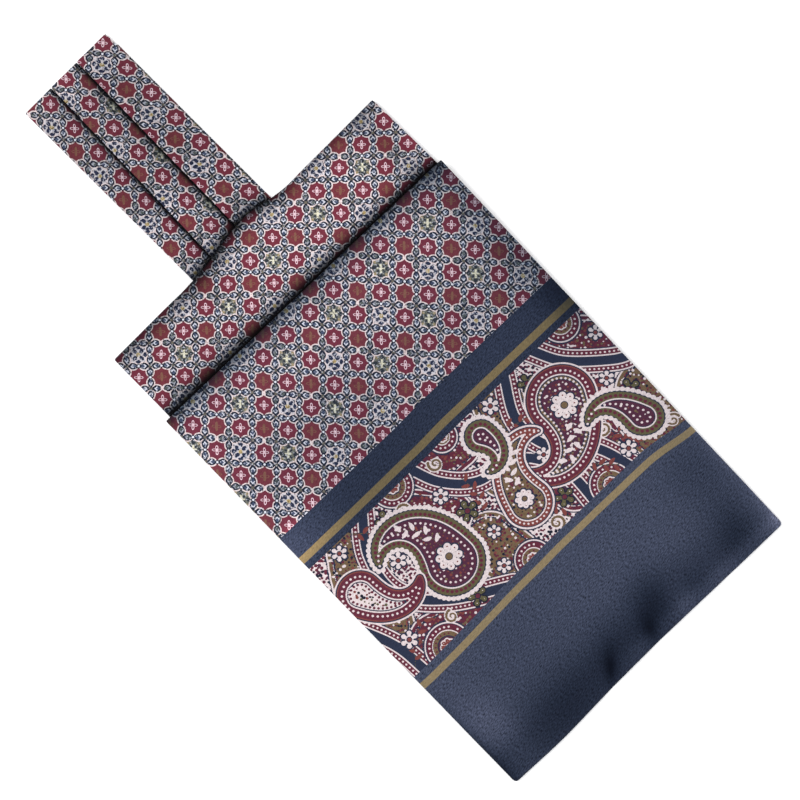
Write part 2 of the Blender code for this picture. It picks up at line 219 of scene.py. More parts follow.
def sewCloth(name, middle, thickness, attributes, materials, innerStep, slotOfRow=None):
    # a closed wall of cloth round a grid of middle points; its inner side has one column for
    # each innerStep of the outer side's
    rows, columns = middle.shape[:2]
    kept = np.arange(0, columns, innerStep)

    def bothSides(outer, inner):
        # the values at the outer side's points, then at the inner side's own ones
        outer, inner = outer.reshape(rows, columns, -1), inner.reshape(rows, columns, -1)
        size = outer.shape[-1]
        return np.concatenate([
            outer.reshape(-1, size),
            inner[1:-1][:, kept[1:-1]].reshape(-1, size),
        ])

    full = np.minimum(fullness(rows)[:, None], fullness(columns)[None, :])
    half = clothNormals(middle) * (thickness * full / 2)[..., None]
    points = bothSides(middle + half, middle - half)
    points[:, 2] = np.maximum(points[:, 2], 0.0)
    outerIndex = np.arange(rows * columns).reshape(rows, columns)
    innerIndex = outerIndex[:, kept].copy()
    innerCount = (rows - 2) * (len(kept) - 2)
    innerIndex[1:-1, 1:-1] = rows * columns + np.arange(innerCount).reshape(rows - 2, -1)

    a, b = outerIndex[:-1, :-1], outerIndex[1:, :-1]
    c, d = outerIndex[1:, 1:], outerIndex[:-1, 1:]
    faces = stacked(a, b, c, d).reshape(-1, 4).tolist()
    slots = np.zeros(rows - 1, int) if slotOfRow is None else slotOfRow
    faceSlots = np.repeat(slots, columns - 1).tolist()
    for row in range(rows - 1):
        for column in range(len(kept) - 1):
            first, last = kept[column], kept[column + 1]
            here = [innerIndex[row, column], innerIndex[row, column + 1]]
            after = [innerIndex[row + 1, column + 1], innerIndex[row + 1, column]]
            if row == 0:
                here = outerIndex[0, first:last + 1].tolist()
            if row == rows - 2:
                after = outerIndex[-1, first:last + 1][::-1].tolist()
            faces.append([int(index) for index in here + after])
            faceSlots.append(int(slots[row]))
    attributes = {label: bothSides(values, values) for label, values in attributes.items()}
    return newPiece(name, points, faces, materials, attributes, faceSlots)


# Node helpers: a Measure is a number that a material works out at each point

def setInputs(tree, node, inputs):
    for name, value in inputs.items():
        if isinstance(value, Measure):
            value = value.socket
        if isinstance(value, bpy.types.NodeSocket):
            tree.links.new(value, node.inputs[name])
        else:
            node.inputs[name].default_value = value


def addNode(tree, kind, inputs, **settings):
    node = tree.nodes.new("ShaderNode" + kind)
    for name, value in settings.items():
        setattr(node, name, value)
    setInputs(tree, node, inputs)
    return node


def worked(tree, how, *values):
    node = addNode(tree, "Math", dict(enumerate(values)), operation=how)
    return Measure(tree, node.outputs[0])


class Measure:
    def __init__(self, tree, socket):
        self.tree = tree
        self.socket = socket

    def work(self, how, *others):
        return worked(self.tree, how, self, *others)

    def __add__(self, other):
        return self.work("ADD", other)

    def __sub__(self, other):
        return self.work("SUBTRACT", other)

    def __rsub__(self, other):
        return worked(self.tree, "SUBTRACT", other, self)

    def __mul__(self, other):
        return self.work("MULTIPLY", other)

    def __truediv__(self, other):
        return self.work("DIVIDE", other)

    def __abs__(self):
        return self.work("ABSOLUTE")

    def __lt__(self, other):
        return self.work("LESS_THAN", other)

    def __gt__(self, other):
        return self.work("GREATER_THAN", other)

    def square(self):
        return self.work("MULTIPLY", self)

    def smaller(self, other):
        return self.work("MINIMUM", other)

    def larger(self, other):
        return self.work("MAXIMUM", other)

    def isOdd(self):
        return self.work("FLOORED_MODULO", 2.0) > 0.5


def attributeOf(tree, name, output):
    return addNode(tree, "Attribute", {}, attribute_name=name).outputs[output]


def measureOf(tree, name):
    return Measure(tree, attributeOf(tree, name, "Fac"))


def linear(colour):
    # a colour of 0 to 255 as the eye sees it, in the light values that a shader uses
    shares = np.array(colour, float) / 255
    return (*np.where(shares <= 0.04045, shares / 12.92, ((shares + 0.055) / 1.055) ** 2.4), 1.0)


def layOver(tree, under, over, share):
    # one colour over another where share is 1
    under, over = [linear(one) if isinstance(one, tuple) else one for one in (under, over)]
    return addNode(tree, "Mix", {0: share, 6: under, 7: over}, data_type="RGBA").outputs[2]


# Silk: twill grain and a soft satin shine over whatever is printed on it

silkFinish = {
    "roughness": 0.42,
    "sheenRoughness": 0.45,
    "colourFactor": 0.66,
    "twillLength": 1.2,       # millimetres along a twill rib
    "twillWidth": 0.45,
    "twillTurn": -105,        # brings the ribs' own direction to the noise's length
    "twillDepth": 0.05,
    "printGrain": 0.45,       # how much the twill shows in the colour
    "plainGrain": 1.5,
    "slubLength": 9.0,
    "slubWidth": 3.0,
    "slubTurn": 20,
    "slubShare": 0.08,
    "bump": 0.35,
}

# Silk's shine on the small print, and on the blades' navy borders, whose shadows are cooler; the
# shadow's tint is a power of the shade for each channel

printShine = {
    "specularLevel": 0.05,
    "specularTint": (205, 190, 200),
    "sheen": 0.018,
    "sheenTint": (205, 195, 205),
    "shadowTint": (1.06, 1.0, 0.96),
}

borderShine = {
    "specularLevel": 0.115,
    "specularTint": (165, 180, 235),
    "sheen": 0.022,
    "sheenTint": (180, 190, 225),
    "shadowTint": (1.12, 1.0, 0.92),
}


def newMaterial(name):
    material = bpy.data.materials.new(name)
    material.use_nodes = True
    return material, material.node_tree


def stretchedNoise(tree, place, turn, length, width, detail):
    # the place is turned first and stretched after
    turned = addNode(tree, "Mapping", {"Vector": place, "Rotation": (0, 0, math.radians(turn))})
    scale = (1 / length, 1 / width, 1)
    stretched = addNode(tree, "Mapping", {"Vector": turned.outputs[0], "Scale": scale})
    noise = addNode(tree, "TexNoise", {"Vector": stretched.outputs[0], "Scale": 1.0, "Detail": detail})
    return Measure(tree, noise.outputs[0])


def finishSilk(tree, colour, grainShare, shine):
    look = silkFinish
    place = attributeOf(tree, "clothPlace", "Vector")
    twill = stretchedNoise(tree, place, look["twillTurn"], look["twillLength"], look["twillWidth"], 1.0)
    slub = stretchedNoise(tree, place, look["slubTurn"], look["slubLength"], look["slubWidth"], 2.0)
    shade = measureOf(tree, "shade")
    grain = (twill - 0.5) * grainShare * 2.0 + (slub - 0.5) * (2 * look["slubShare"]) + 1.0
    powers = shine["shadowTint"]
    tints = [shade.work("POWER", power) * grain * look["colourFactor"] for power in powers]
    tinted = addNode(tree, "CombineXYZ", dict(enumerate(tints)))
    shaded = addNode(tree, "VectorMath", {0: colour, 1: tinted.outputs[0]}, operation="MULTIPLY")
    depth = look["twillDepth"] * millimetre
    bump = addNode(tree, "Bump", {"Strength": look["bump"], "Distance": depth, "Height": twill})
    setInputs(tree, tree.nodes["Principled BSDF"], {
        "Base Color": shaded.outputs[0],
        "Normal": bump.outputs[0],
        "Roughness": look["roughness"],
        "Specular IOR Level": shine["specularLevel"],
        "Specular Tint": linear(shine["specularTint"]),
        "Sheen Weight": shine["sheen"],
        "Sheen Roughness": look["sheenRoughness"],
        "Sheen Tint": linear(shine["sheenTint"]),
    })


# The small print: red medallions on a square net of leaves, turned 45 degrees to the blade

netPrint = {
    "maroon": (115, 50, 64),
    "brownMaroon": (116, 55, 63),
    "flower": (238, 210, 220),
    "brownFlower": (134, 104, 80),
    "outline": (234, 216, 215),
    "leafEdge": (34, 40, 54),
    "leafBlue": (74, 84, 110),
    "leafGreen": (92, 99, 97),
    "leafLight": (216, 219, 233),
    "dot": (234, 236, 246),
    "crossing": (110, 104, 92),
    "greenStarGround": (112, 114, 104),
    "greenStarPatch": (52, 56, 62),
    "greenStarCorner": (160, 144, 112),
    "greenStarCross": (226, 222, 198),
    "goldStarGround": (212, 205, 210),
    "goldStarDark": (46, 52, 76),
    "goldStarHalo": (208, 198, 172),
    "goldStarMiddle": (178, 154, 104),
    # the rest are shares of the print's repeat: how unevenly it is printed, then its figures
    "wobble": 0.023,
    "unevenScale": 1.3,
    "unevenDetail": 4.0,
    "unevenRoughness": 0.62,
    "blotSize": 0.16,
    "blotLimit": 0.60,        # noise above this is a blot
    "speckSize": 0.085,
    "speckLimits": (0.39, 0.60),
    "speckShares": (0.55, 0.6),
    "petalRim": (0.36, 1.25),
    "brownRim": (0.4, 1.2),
    "flowerHeart": 0.022,
    "petalFade": 0.25,        # two of the four petals are this much fainter
    "brownShare": 0.6,
    "greenFade": 0.6,
    "arcMiddle": (0.645, 0.265),
    "arcRadius": 0.345,
    "outlineWidth": 0.049,
    "outlineEnd": 0.455,
    "leafTaper": 0.78,
    "leafRoot": 0.065,
    "leafCross": 0.43,
    "chevron": (1.1, 0.185, 0.034, 0.085),   # slope, start, half its width, reach
    # ovals: how far out, half their length and half their width
    "petal": (0.106, 0.086, 0.052),
    "leafMiddle": (0.32, 0.075, 0.06),
    "greenSide": (0.29, 0.09, 0.085),
    "greenBetween": (0.24, 0.09, 0.06),
    "greenCorner": (0.48, 0.10, 0.08),
    "goldSide": (0.305, 0.075, 0.105),
    "goldBetween": (0.29, 0.16, 0.115),
    # bars: half their width and half their height
    "stroke": (0.034, 0.19),
    "post": (0.045, 0.18),
    "beam": (0.16, 0.024),
    # discs: their radius squared
    "goldHalo": 0.0095,
    "goldMiddle": 0.006,
    "crossingSize": 0.0042,
    "dotSize": 0.0022,
}


def oval(along, beside, middle, halfLength, halfWidth):
    # under 1 inside an oval, over 1 outside it
    return ((along - middle) / halfLength).square() + (beside / halfWidth).square()


def netColours(tree):
    look = netPrint
    place = attributeOf(tree, "printPlace", "Vector")
    uneven = addNode(tree, "TexNoise", {
        "Vector": place, "Scale": look["unevenScale"],
        "Detail": look["unevenDetail"], "Roughness": look["unevenRoughness"],
    })
    moved = addNode(tree, "VectorMath", {
        0: uneven.outputs["Color"], 1: (look["wobble"] * 4,) * 3, 2: place,
    }, operation="MULTIPLY_ADD")
    parts = addNode(tree, "SeparateXYZ", {0: moved.outputs[0]})
    # the noise is 0.5 on average, so the print is put back by half of its wobble
    column, row = [Measure(tree, parts.outputs[axis]) - look["wobble"] * 2 for axis in (0, 1)]
    crossColumn, crossRow = column.work("FLOOR"), row.work("FLOOR")
    sideways = abs(column - crossColumn - 0.5)      # from the nearest crossing of the net
    down = abs(row - crossRow - 0.5)
    fromLine = sideways.smaller(down)
    alongLine = sideways.larger(down)
    out, beside = 0.5 - fromLine, 0.5 - alongLine   # from the medallion's middle
    skew = out - beside
    petal = oval(out, beside, *look["petal"])

    def inOval(figure):
        return oval(out, beside, *look[figure]) < 1.0

    def inSkewOval(figure):
        return oval(out + beside, skew, *look[figure]) < 1.0

    def onRim(rim):
        return (petal < look[rim][1]) * (petal > look[rim][0])

    def inBar(figure):
        halfWidth, halfHeight = look[figure]
        return (0.5 - sideways < halfWidth) * (0.5 - down < halfHeight)

    cellColumn, cellRow = (column + 0.5).work("FLOOR"), (row + 0.5).work("FLOOR")
    oddColumn, oddRow = cellColumn.isOdd(), cellRow.isOdd()
    star = oddRow * (1.0 - oddColumn)
    brown = oddColumn * (1.0 - oddRow)
    gold = ((cellColumn + cellRow - 1.0) * 0.5).isOdd()
    evenCrossRow = 1.0 - crossRow.isOdd()
    green = crossColumn.isOdd() * evenCrossRow

    whiteFlower = onRim("petalRim").larger(out < look["flowerHeart"])
    whiteFlower = whiteFlower * (1.0 - (sideways < down) * look["petalFade"])
    strokes = inBar("stroke").larger(onRim("brownRim"))
    redMedallion = layOver(tree, look["maroon"], look["flower"], whiteFlower)
    strokes = strokes * look["brownShare"]
    brownMedallion = layOver(tree, look["brownMaroon"], look["brownFlower"], strokes)
    medallion = layOver(tree, redMedallion, brownMedallion, brown)

    blots = stretchedNoise(tree, place, 0, look["blotSize"], look["blotSize"], 1.0)
    blots = blots > look["blotLimit"]
    patches = inOval("greenSide").larger(blots).larger(inSkewOval("greenBetween"))
    greenStar = layOver(tree, look["greenStarGround"], look["greenStarPatch"], patches)
    greenStar = layOver(tree, greenStar, look["greenStarCorner"], inSkewOval("greenCorner"))
    greenStar = layOver(tree, greenStar, look["greenStarCross"], inBar("post").larger(inBar("beam")))
    petals = inSkewOval("goldBetween").larger(inOval("goldSide")).larger(blots)
    goldStar = layOver(tree, look["goldStarGround"], look["goldStarDark"], petals)
    fromMiddle = out.square() + beside.square()
    goldStar = layOver(tree, goldStar, look["goldStarHalo"], fromMiddle < look["goldHalo"])
    goldStar = layOver(tree, goldStar, look["goldStarMiddle"], fromMiddle < look["goldMiddle"])
    colour = layOver(tree, medallion, layOver(tree, greenStar, goldStar, gold), star)

    # the leaves' outlines are arcs that bite into the medallions and stop short of the dots;
    # below a brown medallion they cross, and there is no dot
    arcOut, arcBeside = look["arcMiddle"]
    arc = ((out - arcOut).square() + (beside - arcBeside).square()).work("SQRT")
    inArc = arc < look["arcRadius"]
    crossed = oddColumn * evenCrossRow * (down < sideways)
    leaf = (arc < look["arcRadius"] - look["outlineWidth"]) * (fromLine < alongLine * look["leafTaper"])
    leaf = leaf.larger(alongLine < look["leafRoot"])
    leaf = leaf * (1.0 - crossed * (alongLine > look["leafCross"]))
    leaf = leaf.larger((1.0 - crossed) * (alongLine > look["outlineEnd"]) * inArc)
    slope, start, halfWidth, reach = look["chevron"]
    chevron = (abs(alongLine - fromLine * slope - start) < halfWidth) * leaf * (fromLine < reach)
    middle = oval(alongLine, fromLine, *look["leafMiddle"]) < 1.0
    colour = layOver(tree, colour, look["outline"], inArc)
    colour = layOver(tree, colour, look["leafEdge"], leaf)
    colour = layOver(tree, colour, layOver(tree, look["leafBlue"], look["leafGreen"], green), middle)
    chevron = chevron * (1.0 - green * look["greenFade"])
    colour = layOver(tree, colour, look["leafLight"], chevron)
    fromCrossing = fromLine.square() + alongLine.square()
    colour = layOver(tree, colour, look["crossing"], fromCrossing < look["crossingSize"])
    # small flaws that break the net up
    speck = stretchedNoise(tree, place, 30, look["speckSize"], look["speckSize"], 1.0)
    inNet = inArc.larger(star)
    (low, high), (lightShare, darkShare) = look["speckLimits"], look["speckShares"]
    colour = layOver(tree, colour, look["leafEdge"], (speck > high) * inNet * darkShare)
    colour = layOver(tree, colour, look["leafLight"], (speck < low) * inNet * lightShare)
    fromMidpoint = fromLine.square() + (alongLine - 0.5).square()
    return layOver(tree, colour, look["dot"], (fromMidpoint < look["dotSize"]) * (1.0 - crossed))


def makeNetSilk():
    material, tree = newMaterial("printed silk")
    finishSilk(tree, netColours(tree), silkFinish["printGrain"], printShine)
    return material


# The blade's borders: a navy band, two gold lines and the wide paisley panel between them

bladeBorders = {
    # painted shade: the band's navy and its gold line are the hem's navy and the gold, darkened for the
    # shade over the band
    "shadedBandNavy": (45, 52, 70),
    "hemNavy": (67, 73, 92),
    "gold": (144, 127, 96),
    "shadedBandGold": (122, 107, 76),
    "bandStart": 69.8,        # from the front blade's fold
    "firstGold": (81.3, 84.6),
    "panel": (87.8, 152.9),
    "secondGold": (156.6, 159.7),
}


def borderColours(tree):
    # the colour of the borders, and how much of the twill shows in it
    look = bladeBorders
    place = measureOf(tree, "fromFold")
    # painted shade: up to the panel's end the navy is the shaded copy, and the first gold line takes
    # the shaded gold
    colour = layOver(tree, look["shadedBandNavy"], look["hemNavy"], place > look["panel"][1])
    printed = (place > look["panel"][0]) * (place < look["panel"][1])
    for line, gold in (("firstGold", "shadedBandGold"), ("secondGold", "gold")):
        start, end = look[line]
        onLine = (place > start) * (place < end)
        colour = layOver(tree, colour, look[gold], onLine)
        printed = printed.larger(onLine)
    grain = printed * (silkFinish["printGrain"] - silkFinish["plainGrain"]) + silkFinish["plainGrain"]
    return place, colour, grain


def makeBladeTopSilk():
    material, tree = newMaterial("printed silk with navy band")
    place, borders, grain = borderColours(tree)
    bordered = place > bladeBorders["bandStart"]
    colour = layOver(tree, netColours(tree), borders, bordered)
    printGrain = silkFinish["printGrain"]
    finishSilk(tree, colour, (grain - printGrain) * bordered + printGrain, borderShine)
    return material


paisleyColours = {
    "navy": (46, 52, 72),
    "burgundy": (102, 45, 59),
    "cream": (230, 215, 216),
    "ochre": (117, 96, 71),
    "rust": (128, 68, 62),
    "olive": (98, 92, 64),
    "plum": (86, 46, 64),
    "ink": (36, 36, 48),
}


def makeBladeLowerSilk():
    material, tree = newMaterial("bordered silk with paisley")
    place, borders, grain = borderColours(tree)
    names = list(paisleyColours)
    paisley = paisleyColours[names[0]]
    for name in names[1:]:
        paisley = layOver(tree, paisley, paisleyColours[name], measureOf(tree, name + "Inside") > 0.0)
    start, end = bladeBorders["panel"]
    colour = layOver(tree, borders, paisley, (place > start) * (place < end))
    finishSilk(tree, colour, grain, borderShine)
    return material


print("materials")
netSilk = makeNetSilk()
bladeTopSilk = makeBladeTopSilk()
bladeLowerSilk = makeBladeLowerSilk()


def silkAttributes(u, x, repeat, shade):
    # the small print's columns and rows: where they start, and how they run per 100 mm
    cells = [
        start + (perU * u + perX * x) / 100
        for start, perU, perX in (repeat["column"], repeat["row"])
    ]
    return {"printPlace": stacked(*cells), "clothPlace": stacked(u, x), "shade": shade + 0.0 * u}


def declareCloth(piece, nodes):
    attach(piece, "root")
    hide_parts(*nodes)


# Rear blade: its sizes come first, because its lip shades the neckband

rearBlade = {
    "fold": 101.2,
    "tail": 152.0,
    "left": (-72.3, -72.9),
    "right": (84.3, 85.0),
    "returnLength": 5.0,
    "lipBulge": 4.0,
    "lipCentre": 9.0,
    "lipSpreads": (14.0, 11.0),
    "lipHalfWidth": 25.6,
    "lipShoulder": 6.5,
    "lipLength": 16.0,
    "sag": (0.4, 0.9),        # how far its fold falls back at its left and at its right
    "sagFrom": (22, 45),
    # how far the shadows at the front blade and at its own fold reach, from one x to another
    "frontReach": (4.75, 4.4175),
    "frontReachFrom": (-10, 20),
    "ownReach": (5.408, 4.576),
    "ownReachFrom": (-20, 15),
    "shading": (
        ((-1.0, ("toFront", fade, 1.0, 1.8)),),
        ((0.14, ("x", ramp, -35, 5)),),
        ((-0.3, ("x", hump, 75, 6)),),
        (
            (-1.0, ("x", partly, 22, 40, 0.38), ("x", partly, -22, -40, 0.2),
             ("fromFold", fade, 1.0, 1.7)),
        ),
    ),
    "frontClear": 0.6,
    "shadowStart": 0.4,
    "flatLength": 60.0,
    "rows": 60,
    "columns": 231,
    "print": {"column": (-8.664, 6.911, 7.427), "row": (-7.502, 7.484, -7.101)},
}


def lipShare(x):
    halfWidth = rearBlade["lipHalfWidth"]
    return fall(abs(x), halfWidth, halfWidth + rearBlade["lipShoulder"])


def rearFoldLine(x):
    left, right = rearBlade["lipSpreads"]
    spread = np.where(x < rearBlade["lipCentre"], left, right)
    bulge = rearBlade["lipBulge"] * bell(x - rearBlade["lipCentre"], spread)
    sagLeft, sagRight = rearBlade["sag"]
    sag = sagRight * ramp(x, *rearBlade["sagFrom"]) + sagLeft * ramp(-x, *rearBlade["sagFrom"])
    return rearBlade["fold"] - bulge - sag


def rearHeight(u, x):
    raised = lipShare(x) * fall(u, rearBlade["fold"], rearBlade["fold"] + rearBlade["lipLength"])
    return levelMiddle(2) + level * raised


# Neckband

neckband = {
    "end": -0.6,
    "root": 106.0,
    "returnEnd": 6.0,
    "tuck": 3.0,              # a pleat's margin goes this far under the next pleat
    "tuckStart": 3.0,
    "tuckEnd": 84.0,
    "lapSlope": 4.5,
    "loft": 0.6,
    "loftLength": 12.0,
    # the whole neckband comes out darker by this factor
    "colourFactor": 0.87,
    "shading": (
        ((-1.0, ("toLip", fade, 4.0, 1.6)),),
        ((-0.16, ("u", ramp, 2, 14), ("u", fall, 50, 85)),),
    ),
    "foldLightPlace": (4.5, 2.5),
    # painted shade: the dark line in the crease beside a pleat's folded edge, and the softer painted
    # shadow further from it
    "creaseWidth": 1.1,
    "creaseFullness": 1.25,
    "creaseDepth": 0.97,
    "marginShadow": (0.58, 3.0),
    "underHalf": {
        "start": 6.4, "left": -24.0, "right": 24.15, "rows": 50, "columns": 31, "shade": 0.75,
    },
    "rows": 110,
    "columns": 33,
}

pleats = [
    {
        "name": "neckbandRightPleat",
        "node": "neckband_right_pleat",
        "left": (6.4, 4.9),
        "right": (23.6, 23.3),
        "foldLight": 0.0,
        "light": 1.0,
        "laps": True,
        "tucks": False,
        "print": {"column": (0.621, 6.78, 6.298), "row": (1.517, 6.663, -8.205)},
    },
    {
        "name": "neckbandCentrePleat",
        "node": "neckband_centre_pleat",
        "left": (-9.1, -11.8),
        "right": (6.4, 4.9),
        "foldLight": 0.2,
        "light": 1.0,
        "laps": True,
        "tucks": True,
        "print": {"column": (2.047, 6.835, 7.19), "row": (-0.295, 6.805, -8.10)},
    },
    {
        "name": "neckbandLeftPleat",
        "node": "neckband_left_pleat",
        "left": (-24.8, -24.6),
        "right": (-9.1, -11.8),
        "foldLight": 0.0,
        "light": 1.08,
        "laps": False,
        "tucks": True,
        "print": {"column": (2.795, 6.936, 7.76), "row": (-1.387, 6.829, -7.51)},
    },
]


def pleatSides(pleat, u, onTop):
    share = u / rearBlade["fold"]
    left, right = mix(*pleat["left"], share), mix(*pleat["right"], share)
    if pleat["tucks"]:
        tucked = ramp(u, neckband["tuckStart"], 2 * neckband["tuckStart"])
        tucked = tucked * fall(u, neckband["tuckEnd"], neckband["tuckEnd"] + neckband["tuck"])
        right = right + mix(-gap, neckband["tuck"], np.where(onTop, tucked, 0.0))
    return left, right


def pleatHeight(pleat, u, inward):
    height = levelMiddle(1) + 0.0 * u
    if pleat["laps"]:
        clear = neckband["tuck"] + 2 * gap
        start = neckband["tuckEnd"] + neckband["tuck"]
        lapped = fall(inward, clear, clear + neckband["lapSlope"])
        height = height + level * lapped * fall(u, start, start + 3 * neckband["tuck"])
    return height


def bandLoft(u):
    rise = ramp(u, 0.0, neckband["loftLength"]) * fall(u, neckband["tuckEnd"], rearBlade["fold"])
    return neckband["loft"] * rise


def pleatShade(pleat, u, x, inward):
    # the neighbour's folded edge shades this pleat's margin, and the rear blade its root
    places = {"u": u, "toLip": np.maximum(rearFoldLine(x) - u, 0.0)}
    shade = neckband["colourFactor"] * pleat["light"] * shading(neckband["shading"], places)
    # painted highlight along the top of the pleat's own folded edge
    shade = shade * (1 + pleat["foldLight"] * hump(inward, *neckband["foldLightPlace"]))
    if pleat["tucks"]:
        # painted shade: the dark crease line and the softer shadow beside the neighbour's folded edge
        line = mix(*pleat["right"], u / rearBlade["fold"])
        crease = neckband["creaseFullness"] * bell(line - x, neckband["creaseWidth"])
        crease = np.where(x > line, 1.0, np.clip(crease, 0, 1))
        depth, reach = neckband["marginShadow"]
        shade = shade * (1 - neckband["creaseDepth"] * crease)
        shade = shade * (1 - depth * fade(np.maximum(line - x, 0.0), reach))
    return shade


def makePleat(pleat):
    columns = neckband["columns"]
    ends = pleatSides(pleat, 0.0, False)
    us, zs = [], []
    for inward in stopsOver(ends[1] - ends[0], columns, ply)[0]:
        low, high = levelMiddle(0), float(pleatHeight(pleat, 0.0, inward))
        turn = (high - low) / 2 + ply / 2
        band = upperStops(neckband["root"] - turn, neckband["rows"])
        under = neckband["returnEnd"] - turn
        u, z, topRow = foldedPath(neckband["end"], low, high, under, band, returnRows=1, arcSteps=10)
        us.append(u)
        zs.append(z)
    u, z = np.array(us).T, np.array(zs).T
    onTop = (np.arange(len(u)) >= topRow)[:, None]
    left, right = pleatSides(pleat, u, onTop)
    share = stopsOver((right - left)[:, 0], columns, ply) / (right - left)[:, :1]
    inward = share * (right - left)
    x = left + inward
    along = alongCloth(u, z, topRow)
    z = np.where(onTop, pleatHeight(pleat, u, inward) + bandLoft(u), z)
    attributes = silkAttributes(along, x, pleat["print"], pleatShade(pleat, u, x, inward))
    piece = sewCloth(pleat["name"], toTable(u, x, z), ply, attributes, [netSilk], innerStep=6)
    width = (pleat["right"][0] - pleat["left"][0]) * millimetre
    declareCloth(piece, [pleat["node"]])


def makeUnderHalf():
    look = neckband["underHalf"]
    width, length = look["right"] - look["left"], neckband["root"] - look["start"]
    along = stopsOver(length, look["rows"], ply)[0]
    across = stopsOver(width, look["columns"], ply)[0]
    u, x = np.meshgrid(look["start"] + along, look["left"] + across, indexing="ij")
    attributes = silkAttributes(u, x, pleats[0]["print"], look["shade"])
    middle = toTable(u, x, ply / 2)
    piece = sewCloth("neckbandUnderHalf", middle, ply, attributes, [netSilk], innerStep=5)
    declareCloth(piece, ["neckband_under_half"])


print("neckband")
for pleat in pleats:
    makePleat(pleat)
makeUnderHalf()


# Front blade: its sizes come first too, because its fold shades the rear blade

onPrint = ("along", partly, 78, 115, 0.75)
nearHem = ("along", ramp, 150, 170)
onBand = (("along", ramp, 66, 72), ("along", fall, 80, 90))

frontBlade = {
    "foldLeft": (135.3, -75.05),
    "foldRight": (139.4, 86.65),
    "hemLeft": (350.3, -78.95),
    "hemRight": (352.8, 80.4),
    "length": 214.1,
    "returnLength": 14.0,
    "edgeDroop": 1.2,
    "edgeRoll": 8.0,
    "edgeFlat": 171.0,
    "bowStart": 128.0,
    "hemStart": 30.0,
    "hemFull": 14.0,
    "hemThickness": 2.2,
    "hemCorner": 1.9,
    "heights": ((16, 6.2), (60, 5.4), (130, 4.5), (180, 3.5), (214, 2.2)),
    "hemBows": ((0.55, 0.7, 0.16), (0.17, -0.8, 0.09)),
    "puckers": (
        {"share": 0.363, "lean": 37.0, "length": 17, "depth": 1.0, "spread": 3.2},
        {"share": 0.540, "lean": 26.0, "length": 16, "depth": 0.9, "spread": 3.4},
        {"share": 0.800, "lean": 30.0, "length": 14, "depth": 0.7, "spread": 4.4},
    ),
    # painted shadows near the hem, and painted light where the last number is below 0: up from it,
    # across, how long, how wide, leaning, how dark
    "hemShadows": (
        (7.0, -15.2, 5.6, 2.3, 40, 0.88),
        (12.0, -9.8, 9.0, 5.5, 40, 0.26),
        (6.9, 8.5, 4.7, 2.8, 26, 0.85),
        (15.0, 16.5, 10.0, 6.7, 35, 0.55),
        (6.5, 37.0, 3.5, 4.0, 0, 0.25),
        (7.0, 59.0, 4.0, 9.0, 0, 0.12),
        (11.5, 62.5, 7.5, 5.2, 40, 0.34),
        (8.0, -38.0, 10.0, 9.0, 0, 0.20),
        (7.0, 26.0, 6.0, 4.2, 20, -0.55),
        (12.0, 75.0, 10.0, 4.5, 0, -0.40),
        (17.0, -68.0, 12.0, 7.0, 0, -0.75),
    ),
    # painted shade and painted light: how the fold, the sides and the hem darken or lighten the silk
    "shading": (
        ((-1.0, ("fromFold", fade, 4.9, 1.35)),),
        ((-0.58, onPrint, ("fromRight", fade, 16, 1.5)),),
        ((-0.22, onPrint, ("along", ramp, 18, 45), ("share", hump, 0.36, 0.19)),),
        ((0.14, onPrint, ("fromLeft", fade, 9)),),
        ((-0.22, onPrint, ("along", ramp, 20, 60), ("share", ramp, 0.5, 0.8)),),
        (
            (-0.32, nearHem, ("along", partly, 188, 206, 0.3125), ("fromRight", hump, 12, 11)),
            (0.5, nearHem, ("along", partly, 188, 206, -3.2), ("fromRight", fade, 2.8)),
        ),
        ((-0.13, nearHem, ("share", hump, 0.22, 0.14)),),
        (
            (-0.45, nearHem, ("fromLeft", fade, 2.0)),
            (-0.35, ("along", ramp, 165, 200), ("fromLeft", fade, 2.0)),
        ),
        ((1.0, *onBand, ("share", fall, 0.0, 0.22)),),
        ((0.3, *onBand, ("share", ramp, 0.5, 0.8)),),
        ((-0.45, *onBand, ("share", ramp, 0.9, 1.0)),),
        (
            (-0.64, ("share", partly, 0.6, 0.85, 0.3125), ("up", fall, 10, 32)),
            (0.15, ("up", fade, 2.5)),
        ),
        ((0.45, ("up", hump, 4, 2.2), ("share", ramp, 0.38, 0.5)),),
        ((-0.1, ("up", hump, 27, 6), ("share", fall, 0.55, 0.75)),),
        ((0.2, ("up", fade, 4), ("share", ramp, 0.6, 0.75)),),
    ),
    "shadowStart": 0.6,
    "flat": (0.161, 0.232),   # metres
    "columns": 351,
    # rows lie close together over the paisley panel and again near the hem
    "panelRows": (83.0, 155.0, 0.47),
    "hemRows": 30.0,
    "rowCounts": (28, 11, 31),
    "lowerSilk": 76.0,        # the material changes under the plain navy band
    "print": {"column": (-7.206, 6.928, 7.093), "row": (-12.598, 6.633, -7.345)},
    # how far the printed borders bow towards the fold
    "bandBow": (0.1, 1.0, 0.8),
    "hemBow": (0.3, 1.0, 2.2, 0.45),
    "hemBowEnd": (0.84, 1.02),
    "bowChange": (83.0, 158.0),
    "borderWaver": (0.25, 3, 90),
}


# Rear blade

def frontFoldLine(x):
    (leftU, leftX), (rightU, rightX) = frontBlade["foldLeft"], frontBlade["foldRight"]
    return mix(leftU, rightU, (x - leftX) / (rightX - leftX))


def rearShade(along, u, x):
    toFront = np.maximum(frontFoldLine(x) - rearBlade["frontClear"] - u, 0.0)
    fromFold = np.maximum(along - rearFoldLine(x), 0.0) + rearBlade["shadowStart"]
    return shading(rearBlade["shading"], {
        "x": x,
        "toFront": toFront / mix(*rearBlade["frontReach"], ramp(x, *rearBlade["frontReachFrom"])),
        "fromFold": fromFold / mix(*rearBlade["ownReach"], ramp(x, *rearBlade["ownReachFrom"])),
    })


